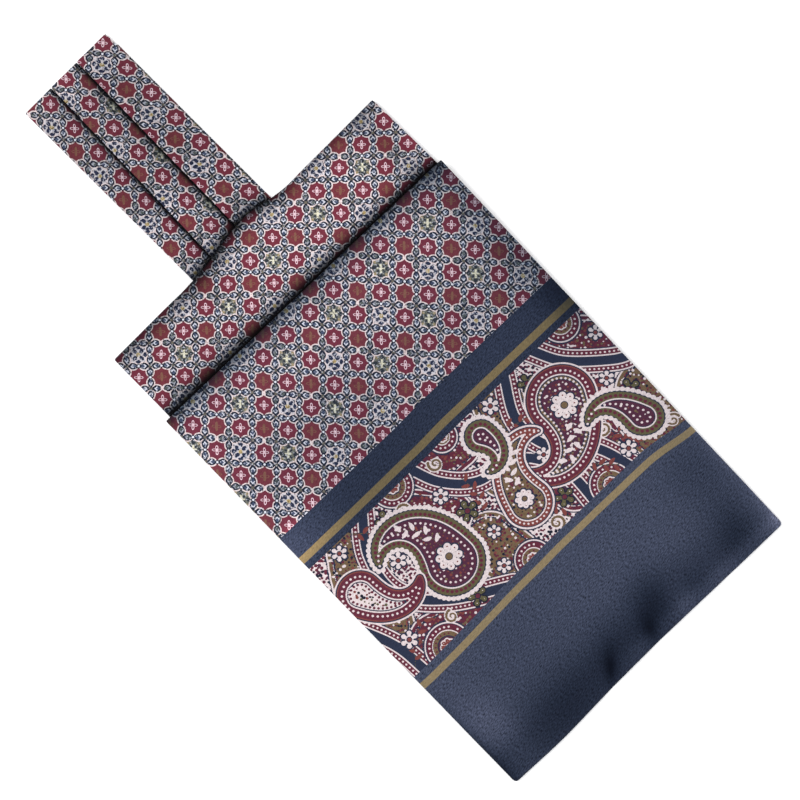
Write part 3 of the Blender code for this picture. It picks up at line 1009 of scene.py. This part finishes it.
def makeRearBlade():
    look = rearBlade
    foldWidth = look["right"][0] - look["left"][0]
    us, zs, xs = [], [], []
    for stop in stopsOver(foldWidth, look["columns"], ply)[0]:
        foldX = look["left"][0] + stop
        tailX = mix(look["left"][1], look["right"][1], stop / foldWidth)
        fold = float(rearFoldLine(foldX))
        low = float(mix(levelMiddle(0), levelMiddle(2), lipShare(foldX)))
        high = float(rearHeight(fold, foldX))
        upper = upperStops(look["tail"] - fold - (high - low) / 2 - ply / 2, look["rows"])
        under = look["returnLength"]
        u, z, topRow = foldedPath(fold, low, high, under, upper, returnRows=1, arcSteps=12)
        us.append(u)
        zs.append(np.where(np.arange(len(u)) >= topRow, rearHeight(u, foldX), z))
        xs.append(mix(foldX, tailX, (u - look["fold"]) / (look["tail"] - look["fold"])))
    u, x, z = np.array(us).T, np.array(xs).T, np.array(zs).T
    along = alongCloth(u, z, topRow)
    attributes = silkAttributes(along, x, look["print"], rearShade(along, u, x))
    piece = sewCloth("rearBlade", toTable(u, x, z), ply, attributes, [netSilk], innerStep=6)
    flat = (foldWidth * millimetre, look["flatLength"] * millimetre)
    declareCloth(piece, ["rear_blade"])


print("rear blade")
makeRearBlade()


# Front blade

def hemLength(share):
    bows = sum(depth * bell(share - middle, spread) for middle, depth, spread in frontBlade["hemBows"])
    return frontBlade["length"] - bows


def frontPlace(along, share):
    down = along / frontBlade["length"]
    sides = []
    for fold, hem in (("foldLeft", "hemLeft"), ("foldRight", "hemRight")):
        sides.append([mix(frontBlade[fold][axis], frontBlade[hem][axis], down) for axis in (0, 1)])
    return mix(sides[0][0], sides[1][0], share), mix(sides[0][1], sides[1][1], share)


def frontWidth(along):
    return frontPlace(along, 1.0)[1] - frontPlace(along, 0.0)[1]


def puckerDepth(along, across, width):
    depth = 0.0
    up = frontBlade["length"] - along
    for pucker in frontBlade["puckers"]:
        line = pucker["share"] * width + up * math.tan(math.radians(pucker["lean"]))
        deep = pucker["depth"] * fall(up, pucker["length"] / 4, pucker["length"])
        depth = depth + deep * bell(across - line, pucker["spread"])
    return depth


def frontTop(along, across, width):
    table = frontBlade["heights"]
    height = table[0][1]
    for first, second in zip(table, table[1:]):
        height = height + (second[1] - first[1]) * ramp(along, first[0], second[0])
    fromSide = np.minimum(across, width - across)
    roll = frontBlade["edgeDroop"] * (1 - np.minimum(fromSide / frontBlade["edgeRoll"], 1.0)) ** 2
    hangs = ramp(along, 0.0, frontBlade["edgeRoll"])
    hangs = hangs * fall(along, frontBlade["edgeFlat"], frontBlade["length"])
    return height - roll * hangs


def frontBottom(along, across, width):
    up = frontBlade["length"] - along
    raised = ramp(up, frontBlade["hemFull"], frontBlade["hemStart"])
    return (frontTop(along, across, width) - ply) * raised


def frontRowStops(turn):
    end = frontBlade["length"] - turn
    near = edgeShares * frontBlade["hemThickness"]
    first, second, third = frontBlade["rowCounts"]
    panelStart, panelEnd, closeStep = frontBlade["panelRows"]
    panelStart, panelEnd, hemStart = panelStart - turn, panelEnd - turn, end - frontBlade["hemRows"]
    return np.concatenate([
        np.linspace(0.0, panelStart, first)[:-1],
        np.arange(panelStart, panelEnd, closeStep),
        np.linspace(panelEnd, hemStart, second)[:-1],
        np.linspace(hemStart, end - near[-1], third)[:-1],
        end - near[::-1],
    ])


def borderBow(along, share):
    least, more, across = frontBlade["bandBow"]
    atBand = least + more * ramp(share, 0.0, across)
    least, start, more, across = frontBlade["hemBow"]
    atHem = least + (start + more * ramp(share, 0.0, across)) * fall(share, *frontBlade["hemBowEnd"])
    return mix(atBand, atHem, ramp(along, *frontBlade["bowChange"]))


def frontShade(along, across, width):
    up = np.maximum(frontBlade["length"] - along, 0.0)
    shade = shading(frontBlade["shading"], {
        "along": along, "up": up, "share": across / width, "fromLeft": across,
        "fromRight": width - across,
        "fromFold": np.maximum(along, 0.0) + frontBlade["shadowStart"],
    })
    x = frontPlace(along, across / width)[1]
    # painted shadows near the hem's puckers, and painted light where the amount is below 0
    for middleUp, middleX, long, wide, lean, dark in frontBlade["hemShadows"]:
        slope = math.radians(lean)
        awayUp, awayX = up - middleUp, x - middleX
        lengthwise = awayUp * math.cos(slope) + awayX * math.sin(slope)
        sideways = awayX * math.cos(slope) - awayUp * math.sin(slope)
        shade = shade * (1 - dark * bell(lengthwise, long) * bell(sideways, wide))
    return shade


# Paisley panel: the distance that each point lies inside each colour is kept, so that the
# printed edges stay sharp between the points. The figures are drawn in an arrangement of their own

def smoothPath(points, count):
    # a smooth line through the points
    points = np.asarray(points, float)
    ends = np.concatenate([[2 * points[0] - points[1]], points, [2 * points[-1] - points[-2]]])
    place = np.linspace(0, len(points) - 1.001, count)
    index = place.astype(int)
    share = (place - index)[:, None]
    a, b, c, d = [ends[index + step] for step in range(4)]
    curve = (2 * a - 5 * b + 4 * c - d) * share ** 2 + (3 * b - a - 3 * c + d) * share ** 3
    return 0.5 * (2 * b + (c - a) * share + curve)


class PrintedShape:
    # discs along a path: a dot, a band, a petal, a spiral or the body of a paisley
    def __init__(self, path, radii):
        self.path = np.asarray(path, float).reshape(-1, 2)
        self.radii = np.zeros(len(self.path)) + radii

    def inside(self, s, t):
        distance = np.full(np.shape(s), -99.0)
        for (discS, discT), radius in zip(self.path, self.radii):
            distance = np.maximum(distance, radius - np.hypot(s - discS, t - discT))
        return distance

    def box(self, grow):
        reach = self.radii[:, None] + grow
        return (self.path - reach).min(axis=0), (self.path + reach).max(axis=0)

    def rim(self, inset, spacing):
        # even places round it, this far in from its edge
        step = np.gradient(self.path, axis=0)
        step = step / np.maximum(np.hypot(step[:, 0], step[:, 1]), 1e-9)[:, None]
        side = stacked(-step[:, 1], step[:, 0])
        reach = np.maximum(self.radii - inset, 0.0)[:, None]
        angle = np.linspace(0, math.pi, 14)[1:-1, None]
        blunt = self.path[0] + reach[0] * (side[0] * np.cos(angle) - step[0] * np.sin(angle))
        tip = self.path[-1] + reach[-1] * (step[-1] * np.sin(angle) - side[-1] * np.cos(angle))
        loop = np.concatenate([(self.path + side * reach)[::-1], blunt, self.path - side * reach, tip])
        run = np.concatenate([[0.0], np.cumsum(np.hypot(*np.diff(loop, axis=0).T))])
        even = np.linspace(0, run[-1], max(int(run[-1] / spacing), 3))[:-1]
        return stacked(*[np.interp(even, run, axis) for axis in loop.T])


class PaisleyPanel:
    def __init__(self, s, t):
        self.s, self.t = s, t
        self.names = list(paisleyColours)
        self.layers = np.full((len(self.names),) + s.shape, -9.0)
        self.layers[self.names.index("cream")] = 9.0

    def window(self, low, high):
        # the rows and columns that a box covers
        end = paisleyPanel["size"][0] + 1
        rows = (self.s.max(axis=1) > max(low[0], -1)) & (self.s.min(axis=1) < min(high[0], end))
        columns = (self.t.max(axis=0) > low[1]) & (self.t.min(axis=0) < high[1])
        rows, columns = np.flatnonzero(rows), np.flatnonzero(columns)
        if not len(rows) or not len(columns):
            return None
        return slice(rows[0], rows[-1] + 1), slice(columns[0], columns[-1] + 1)

    def paint(self, shape, *layers):
        # each layer is how far it reaches past the shape's edge, and its colour
        window = self.window(*shape.box(layers[0][0] + 0.8))
        if window is None:
            return
        distance = shape.inside(self.s[window], self.t[window])
        block = self.layers[(slice(None),) + window]
        for grow, colour in layers:
            index = self.names.index(colour)
            own = np.maximum(block[index], distance + grow)
            np.minimum(block, -distance - grow, out=block)
            block[index] = own

    def sprinkle(self, region, spacing, inset, size, colours, seed):
        random = np.random.default_rng(seed)
        low, high = region.box(0.0)
        low, high = np.maximum(low, -1.0), np.minimum(high, paisleyPanel["size"])
        places = np.meshgrid(np.arange(low[0], high[0], spacing), np.arange(low[1], high[1], spacing))
        places = stacked(*[axis.ravel() for axis in places])
        places = places + random.uniform(-0.38, 0.38, places.shape) * spacing
        for place in places[region.inside(places[:, 0], places[:, 1]) > inset]:
            colour = colours[random.integers(len(colours))]
            self.paint(PrintedShape(place, size * random.uniform(0.7, 1.3)), (0.0, colour))

    def bead(self, shape, inset, spacing, size, colour):
        for place in shape.rim(inset, spacing):
            self.paint(PrintedShape(place, size), (0.0, colour))

    def flower(self, place, petals, size, colours):
        # the colours are those of the outline, the petals, the marks on them and the heart
        outline, petal, mark, heart = colours
        place = np.array(place)
        shapes = []
        for turn in range(petals):
            angle = 2 * math.pi * (turn + 0.3) / petals
            out = np.array([math.cos(angle), math.sin(angle)]) * size
            radii = np.array([0.2, 0.27]) * size
            shapes.append(PrintedShape([place + out * 0.4, place + out * 0.75], radii))
        for shape in shapes:
            self.paint(shape, (0.55, outline))
        for shape in shapes:
            self.paint(shape, (0.0, petal), (-0.2 * size, mark))
        self.paint(PrintedShape(place, 0.24 * size), (0.35, outline), (0.0, heart))

    def spray(self, path, leaf, stalk, leaves):
        # a thin stalk with leaves by turns on both sides
        path = smoothPath(path, 24)
        self.paint(PrintedShape(path, 0.3), (0.0, stalk))
        for turn, index in enumerate(range(3, 23, 3)):
            along = path[index + 1] - path[index - 1]
            along = along / np.hypot(*along)
            side = np.array([-along[1], along[0]]) * (1 if turn % 2 else -1)
            start = path[index]
            tip = start + (side + along * 0.8) * leaf
            middle = start + (side + along * 0.6) * leaf * 0.5
            radii = leaf * np.array([0.08, 0.2, 0.28, 0.3, 0.26, 0.16, 0.06])
            self.paint(PrintedShape(smoothPath([start, middle, tip], 7), radii), (0.0, leaves))

    def spiral(self, place, size, start, colours):
        edge, fill = colours
        share = np.linspace(0, 1, 30)
        angle = math.radians(start) + share * 8.5
        reach = (size * (1 - 0.85 * share))[:, None]
        path = np.array(place) + reach * stacked(np.cos(angle), np.sin(angle))
        coil = PrintedShape(path, 0.20 * size * (1 - 0.5 * share))
        self.paint(coil, (0.5, edge))
        self.paint(coil, (0.0, fill))

    def fan(self, place, size):
        # a half-round fan that the panel's border cuts off
        disc = PrintedShape([place, np.array(place) + 0.01], size)
        self.paint(disc, (1.5, "navy"), (0.9, "cream"), (0.3, "navy"), (0.0, "burgundy"),
                   (-2.4, "cream"), (-2.9, "ochre"), (-4.8, "navy"), (-5.2, "plum"))
        self.bead(disc, 1.2, 1.9, 0.5, "cream")
        self.bead(disc, 3.9, 1.7, 0.45, "burgundy")
        self.flower(place, 8, size * 0.33, ("cream", "rust", "cream", "ochre"))


def paisleyBody(figure):
    share = np.linspace(0, 1, 34)
    turn = np.radians(figure["heading"] + figure["curl"] * share ** 1.7)
    steps = stacked(np.cos(turn), np.sin(turn)) * figure["length"] / len(share)
    path = np.array(figure["base"]) + np.cumsum(steps, axis=0)
    return PrintedShape(path, figure["radius"] * (1 - share) ** 0.85 + 0.5)


paisleyPanel = {
    "size": (66.0, 162.0),
    "backdrop": {"path": ((33, -10), (33, 80), (33, 170)), "radius": 60.0},
    # specks: how far apart, how far in from the edge and how large
    "backdropSpecks": (1.5, 0.0, 0.60),
    "groundSpecks": (1.5, 0.8, 0.5),
    "seeds": {"backdrop": 11, "grounds": 20, "figures": 40},
    "grounds": (
        {"path": ((6, 22), (22, 12), (40, 6)), "radius": 13, "colour": "ochre"},
        {"path": ((60, 66), (46, 64)), "radius": 12, "colour": "ochre"},
        {"path": ((4, 108), (20, 102)), "radius": 11, "colour": "ochre"},
        {"path": ((62, 150), (46, 158)), "radius": 14, "colour": "ochre"},
        {"path": ((60, 18), (66, 36)), "radius": 11, "colour": "burgundy"},
        {"path": ((4, 66), (6, 82)), "radius": 10, "colour": "burgundy"},
        {"path": ((56, 106), (44, 104)), "radius": 10, "colour": "burgundy"},
        {"path": ((2, 142), (14, 154)), "radius": 11, "colour": "burgundy"},
        {"path": ((26, 60), (14, 50)), "radius": 9, "colour": "burgundy"},
        {"path": ((36, 98), (30, 86)), "radius": 8, "colour": "ochre"},
        {"path": ((46, 130), (62, 128)), "radius": 7, "colour": "burgundy"},
    ),
    "specks": {
        "cream": ("burgundy", "burgundy", "ink", "plum"),
        "ochre": ("burgundy", "cream", "ink", "burgundy", "rust"),
        "burgundy": ("rust", "cream", "ochre", "plum"),
    },
    "bands": (
        ((-3, 34), (14, 22), (34, 20), (52, 34), (68, 58)),
        ((-3, 60), (12, 66), (24, 78), (30, 98), (48, 108), (68, 108)),
        ((-3, 118), (16, 108), (34, 110), (50, 124), (68, 130)),
        ((68, 6), (50, 4), (30, -4)),
        ((-3, 132), (12, 140), (26, 156), (30, 166)),
    ),
    "bandRadius": 1.8,
    "coreInset": 4.6,
    "heartFrom": 9.0,         # figures larger than this have a flower and a spray inside
    "figures": (
        {"base": (43, 46), "radius": 13.5, "length": 50, "heading": 168, "curl": 165, "dress": "olive"},
        {"base": (22, 128), "radius": 13.5, "length": 50, "heading": -12, "curl": -150,
         "dress": "burgundy"},
        {"base": (48, 87), "radius": 9.5, "length": 42, "heading": 178, "curl": -130, "dress": "rust"},
        {"base": (22, 8), "radius": 8.5, "length": 34, "heading": 15, "curl": 120, "dress": "plum"},
        {"base": (54, 148), "radius": 7.5, "length": 30, "heading": 190, "curl": 120, "dress": "olive"},
        {"base": (10, 92), "radius": 6.0, "length": 22, "heading": 20, "curl": -140, "dress": "olive"},
    ),
    "fans": (
        (66, 20, 9.5), (-1, 50, 8.5), (66, 72, 7.5), (-1, 80, 6.0), (66, 118, 8.5), (-1, 150, 7.5),
    ),
    "flowers": (
        {"petals": 5, "colours": ("ink", "olive", "cream", "burgundy"), "places": (
            (8, 38, 4.6), (60, 44, 4.2), (30, 66, 4.6), (56, 100, 4.2), (8, 122, 4.0),
            (40, 152, 4.4),
        )},
        {"petals": 6, "colours": ("navy", "cream", "cream", "rust"), "places": (
            (24, 30, 3.6), (4, 14, 3.4), (52, 10, 3.8), (17, 62, 3.4), (59, 61, 3.2),
            (26, 88, 3.0), (36, 106, 3.2), (4, 104, 3.6), (60, 134, 3.6), (30, 148, 3.2),
            (12, 158, 3.2), (45, 68, 3.0),
        )},
    ),
    "spirals": (
        (10, 46, 3.4, 40), (36, 12, 3.2, 200), (22, 100, 3.4, 120), (62, 90, 3.4, 10),
        (46, 132, 3.0, 300), (5, 70, 3.2, 220), (62, 156, 3.0, 90), (58, 30, 2.8, 160),
    ),
    "sprays": (
        ((62, 4), (54, 12), (50, 22)), ((2, 24), (8, 30), (16, 32)), ((36, 70), (28, 74), (18, 74)),
        ((64, 96), (58, 92), (54, 94)), ((12, 98), (18, 108), (18, 116)),
        ((46, 116), (56, 120), (62, 126)), ((24, 142), (34, 142), (42, 140)),
        ((62, 140), (58, 136), (50, 136)),
    ),
}

# how each kind of figure is painted, from its edge in; core is the part inside its border
dresses = {
    "olive": (
        (PaisleyPanel.paint, "body", (2.4, "navy"), (1.9, "cream"), (1.0, "navy"), (0.4, "olive")),
        (PaisleyPanel.bead, "body", -1.9, 2.1, 1.05, "cream"),
        (PaisleyPanel.bead, "body", 1.2, 2.0, 0.75, "burgundy"),
        (PaisleyPanel.paint, "body", (-2.5, "cream"), (-3.1, "navy"), (-3.5, "plum")),
        (PaisleyPanel.bead, "core", 0.6, 2.2, 0.55, "cream"),
        (PaisleyPanel.sprinkle, "core", 1.9, 1.6, 0.5, ("rust", "ochre", "rust", "cream")),
    ),
    "burgundy": (
        (PaisleyPanel.paint, "body", (2.2, "cream"), (1.5, "navy"), (1.0, "rust"), (0.4, "burgundy")),
        (PaisleyPanel.bead, "body", 1.2, 2.1, 0.55, "cream"),
        (PaisleyPanel.paint, "body", (-2.8, "cream"), (-3.4, "navy"), (-3.9, "ochre"), (-5.0, "navy"),
         (-5.4, "plum")),
        (PaisleyPanel.bead, "core", 0.0, 1.9, 0.55, "cream"),
        (PaisleyPanel.sprinkle, "core", 1.5, 1.6, 0.5,
         ("cream", "rust", "ochre", "cream", "burgundy")),
    ),
    "plum": (
        (PaisleyPanel.paint, "body", (2.2, "cream"), (1.5, "navy"), (1.0, "rust"), (0.4, "burgundy")),
        (PaisleyPanel.bead, "body", 1.2, 2.1, 0.55, "cream"),
        (PaisleyPanel.paint, "body", (-2.8, "cream"), (-3.4, "navy"), (-3.9, "cream")),
        (PaisleyPanel.bead, "core", 0.1, 1.8, 0.6, "burgundy"),
        (PaisleyPanel.sprinkle, "core", 1.6, 1.2, 0.55, ("burgundy", "ink", "rust", "olive")),
    ),
    "rust": (
        (PaisleyPanel.paint, "body", (2.0, "navy"), (1.5, "cream"), (0.7, "navy"), (0.3, "rust")),
        (PaisleyPanel.bead, "body", 0.8, 1.9, 0.5, "cream"),
        (PaisleyPanel.paint, "body", (-1.9, "cream"), (-2.5, "navy"), (-3.0, "ochre")),
        (PaisleyPanel.sprinkle, "body", 1.5, 3.6, 0.5, ("cream", "burgundy", "ink", "burgundy")),
    ),
}


def dressFigure(panel, figure, seed):
    body = paisleyBody(figure)
    core = PrintedShape(body.path, np.maximum(body.radii - paisleyPanel["coreInset"], 0.1))
    parts = {"body": body, "core": core}
    for draw, part, *how in dresses[figure["dress"]]:
        if draw is PaisleyPanel.sprinkle:
            how.append(seed)
        draw(panel, parts[part], *how)
    if body.radii[0] > paisleyPanel["heartFrom"]:
        panel.flower(body.path[2], 8, body.radii[0] * 0.42, ("navy", "cream", "rust", "ochre"))
        panel.spray(body.path[6:22:5], 3.2, "olive", "cream")


def frontPanel(s, t):
    panel = PaisleyPanel(s, t)
    look = paisleyPanel
    whole = PrintedShape(smoothPath(look["backdrop"]["path"], 12), look["backdrop"]["radius"])
    seeds = look["seeds"]
    panel.sprinkle(whole, *look["backdropSpecks"], look["specks"]["cream"], seeds["backdrop"])
    for number, ground in enumerate(look["grounds"]):
        patch = PrintedShape(smoothPath(ground["path"], 10), ground["radius"])
        panel.paint(patch, (1.2, "navy"), (0.7, "cream"), (0.0, ground["colour"]),
                    (-1.5, "cream"), (-1.9, "navy"), (-2.5, ground["colour"]))
        colours = look["specks"][ground["colour"]]
        panel.sprinkle(patch, *look["groundSpecks"], colours, seeds["grounds"] + number)
    for path in look["bands"]:
        band = PrintedShape(smoothPath(path, 90), look["bandRadius"])
        panel.paint(band, (3.9, "navy"), (3.5, "cream"), (2.9, "burgundy"),
                    (0.8, "cream"), (0.2, "navy"))
        panel.bead(band, -1.8, 1.9, 0.48, "cream")
    for *place, size in look["fans"]:
        panel.fan(place, size)
    for path in look["sprays"]:
        panel.spray(path, 3.0, "olive", "rust")
    for *place, size, start in look["spirals"]:
        panel.spiral(place, size, start, ("cream", "ochre"))
    for kind in look["flowers"]:
        for *place, size in kind["places"]:
            panel.flower(place, kind["petals"], size, kind["colours"])
    for number, figure in enumerate(look["figures"]):
        dressFigure(panel, figure, seeds["figures"] + number)
    return dict(zip(panel.names, panel.layers))


def makeFrontBlade():
    look = frontBlade
    low, high = levelMiddle(3), levelMiddle(4)
    upper = frontRowStops((high - low) / 2 + ply / 2)
    under = look["returnLength"]
    alongRow, zRow, topRow = foldedPath(0.0, low, high, under, upper, returnRows=2, arcSteps=12)
    onTop = (np.arange(len(alongRow)) >= topRow)[:, None]
    width = frontWidth(alongRow)
    corner = look["hemCorner"]
    fromHem = np.minimum(look["length"] - alongRow, corner)
    inset = corner - np.sqrt(np.maximum(corner ** 2 - (corner - fromHem) ** 2, 0.0))
    inset = np.where(onTop[:, 0], inset, 0.0)
    across = inset[:, None] + stopsOver(width - 2 * inset, look["columns"], ply)
    width, along, z = width[:, None], alongRow[:, None], zRow[:, None]
    share = across / width
    topZ = frontTop(along, across, width) - puckerDepth(along, across, width)
    topZ = np.where(onTop, topZ, z + ply / 2)
    bottomZ = np.where(onTop, frontBottom(along, across, width), z - ply / 2)
    bow = mix(1.0, hemLength(share) / look["length"], ramp(along, look["bowStart"], look["length"]))
    u, x = frontPlace(along * bow, share)
    middle = toTable(u, x, (topZ + bottomZ) / 2)

    waves, seed, longest = look["borderWaver"]
    fromFold = along + borderBow(along, share) + waves * waver(across, seed, longest)
    print("  paisley panel")
    inside = frontPanel(fromFold - bladeBorders["panel"][0], across)
    own = alongCloth(along, z, topRow)
    printU = np.where(onTop, u, u - along + own)
    attributes = silkAttributes(printU, x, look["print"], frontShade(own, across, width))
    attributes["fromFold"] = fromFold
    for name in list(paisleyColours)[1:]:
        attributes[name + "Inside"] = inside[name]
    slots = (alongRow[:-1] > look["lowerSilk"]).astype(int)
    materials = [bladeTopSilk, bladeLowerSilk]
    piece = sewCloth("frontBlade", middle, topZ - bottomZ, attributes, materials, 12, slots)
    declareCloth(piece, ["front_blade"])


print("front blade")
makeFrontBlade()


# Folded layers under the blades

foldedLayers = {
    "start": 109.5,
    "step": 153.5,
    "risen": 158.5,
    "end": 318.0,
    "left": (-70.4, -75.6),
    "right": (82.2, 79.0),
    "clear": 0.45,
    "corner": 7.0,
    "count": 3,
    "groove": 0.45,
    "least": 0.9,
    "bulges": (0.93, 0.75, 0.5, 0.25, 0.07),
    "bulgeDepth": 1.2,
    "shade": 0.55,
    "flat": (0.153, 0.209),   # metres
    "rows": 90,
    "columns": 60,
}


def layersHeight(u, x):
    underRear = rearHeight(u, x) - ply / 2
    along = u - frontBlade["foldLeft"][0]
    leftX, width = frontPlace(along, 0.0)[1], frontWidth(along)
    along = along - (frontBlade["foldRight"][0] - frontBlade["foldLeft"][0]) * (x - leftX) / width
    underFront = frontBottom(along, x - leftX, width)
    under = mix(underRear, underFront, ramp(u, foldedLayers["step"], foldedLayers["risen"]))
    return np.maximum(under - foldedLayers["clear"], foldedLayers["least"])


def layersGrid():
    # u and x over the layers, with rounded corners
    look = foldedLayers
    length, corner = look["end"] - look["start"], look["corner"]
    near = corner * (1 - np.cos(np.linspace(0, math.pi / 2, 9)))
    between = np.linspace(corner, length - corner, look["rows"])[1:-1]
    stops = np.concatenate([near, between, length - near[::-1]])
    fromEnd = np.minimum(np.minimum(stops, length - stops), corner)
    inset = corner - np.sqrt(corner ** 2 - (corner - fromEnd) ** 2)
    left = mix(*look["left"], stops / length) + inset
    right = mix(*look["right"], stops / length) - inset
    share = np.linspace(0, 1, look["columns"] + 1)
    return np.broadcast_arrays(
        (look["start"] + stops)[:, None],
        left[:, None] + (right - left)[:, None] * share,
    )


def makeFoldedLayers():
    look = foldedLayers
    u, x = layersGrid()
    top = layersHeight(u, x)
    index = np.arange(u.size).reshape(u.shape)
    rim = np.concatenate([index[0, :-1], index[:-1, -1], index[-1, :0:-1], index[:0:-1, 0]])
    rimU, rimX, rimZ = u.ravel()[rim], x.ravel()[rim], top.ravel()[rim]
    tangentU = np.roll(rimU, -1) - np.roll(rimU, 1)
    tangentX = np.roll(rimX, -1) - np.roll(rimX, 1)
    size = np.hypot(tangentU, tangentX)
    # rings of points down the side, which bulges at each layer
    levels = []
    for layer in reversed(range(look["count"])):
        for part in look["bulges"]:
            bulge = look["groove"] * math.sqrt(1 - (2 * part - 1) ** 2) * look["bulgeDepth"]
            levels.append(((layer + part) / look["count"], bulge))
        if layer:
            levels.append((layer / look["count"], 0.0))
    places = [stacked(u, x, top).reshape(-1, 3)]
    rings = [rim]
    for height, bulge in levels:
        rings.append(u.size + len(rim) * (len(rings) - 1) + np.arange(len(rim)))
        ringU, ringX = rimU - tangentX / size * bulge, rimX + tangentU / size * bulge
        places.append(stacked(ringU, ringX, rimZ * height))
    base = u.size + len(rim) * len(levels)
    rings.append(base + rim)
    places.append(stacked(u, x, 0.0).reshape(-1, 3))
    along, across, height = np.concatenate(places).T
    quads = stacked(index[:-1, :-1], index[1:, :-1], index[1:, 1:], index[:-1, 1:]).reshape(-1, 4)
    faces = quads.tolist() + (quads[:, ::-1] + base).tolist()
    for upper, lower in zip(rings, rings[1:]):
        faces += stacked(upper, np.roll(upper, -1), np.roll(lower, -1), lower).tolist()
    attributes = silkAttributes(along, across + height, rearBlade["print"], look["shade"])
    piece = newPiece("foldedLayers", toTable(along, across, height), faces, [netSilk], attributes)
    declareCloth(piece, ["folded_layers"])


print("folded layers")
makeFoldedLayers()


# Table, lights and camera

studio = {
    "floorColour": (253, 253, 254),
    "floorHalf": 2000.0,
    "worldColour": (255, 255, 255),
    "worldStrength": 0.98,
    "keyPower": 14.0,
    "keySize": 0.9,
    "keyPlace": (-0.55, 0.75, 1.1),
    "fillPower": 4.9,
    "fillSize": 1.2,
    "fillPlace": (0.8, -0.5, 1.2),
    "lens": 100.0,
    "sensor": 36.0,
    "frameWidth": 341.4,
    "frameMiddle": (199.5, 1.9),
    "clothHeight": 4.0,
    "roll": -45.0,
}


def makeFloor():
    material, tree = newMaterial("table")
    setInputs(tree, tree.nodes["Principled BSDF"], {
        "Base Color": linear(studio["floorColour"]), "Roughness": 0.9, "Specular IOR Level": 0.1,
    })
    half = studio["floorHalf"]
    corners = np.array([(-half, -half, 0), (half, -half, 0), (half, half, 0), (-half, half, 0)])
    newPiece("floor", corners, [(0, 1, 2, 3)], [material], {})


def addLight(name, place, size, power):
    data = bpy.data.lights.new(name, "AREA")
    data.shape = "DISK"
    data.size = size
    data.energy = power
    light = addObject(name, data)
    light.location = place
    light.rotation_euler = (-Vector(place)).to_track_quat("-Z", "Y").to_euler()


def lightTable():
    world = bpy.data.worlds.new("studio")
    bpy.context.scene.world = world
    world.use_nodes = True
    background = world.node_tree.nodes["Background"]
    background.inputs["Color"].default_value = linear(studio["worldColour"])
    background.inputs["Strength"].default_value = studio["worldStrength"]
    addLight("key", studio["keyPlace"], studio["keySize"], studio["keyPower"])
    addLight("fill", studio["fillPlace"], studio["fillSize"], studio["fillPower"])


def placeCamera():
    data = bpy.data.cameras.new("camera")
    data.lens = studio["lens"]
    data.sensor_width = studio["sensor"]
    camera = addObject("camera", data)
    distance = studio["frameWidth"] * studio["lens"] / studio["sensor"] + studio["clothHeight"]
    u, x = studio["frameMiddle"]
    camera.location = Vector(toTable(u, x, distance)) * millimetre
    camera.rotation_euler = (0, 0, math.radians(studio["roll"]))
    bpy.context.scene.camera = camera


print("table, lights and camera")
makeFloor()
lightTable()
placeCamera()
bpy.context.scene.view_settings.view_transform = "Standard"
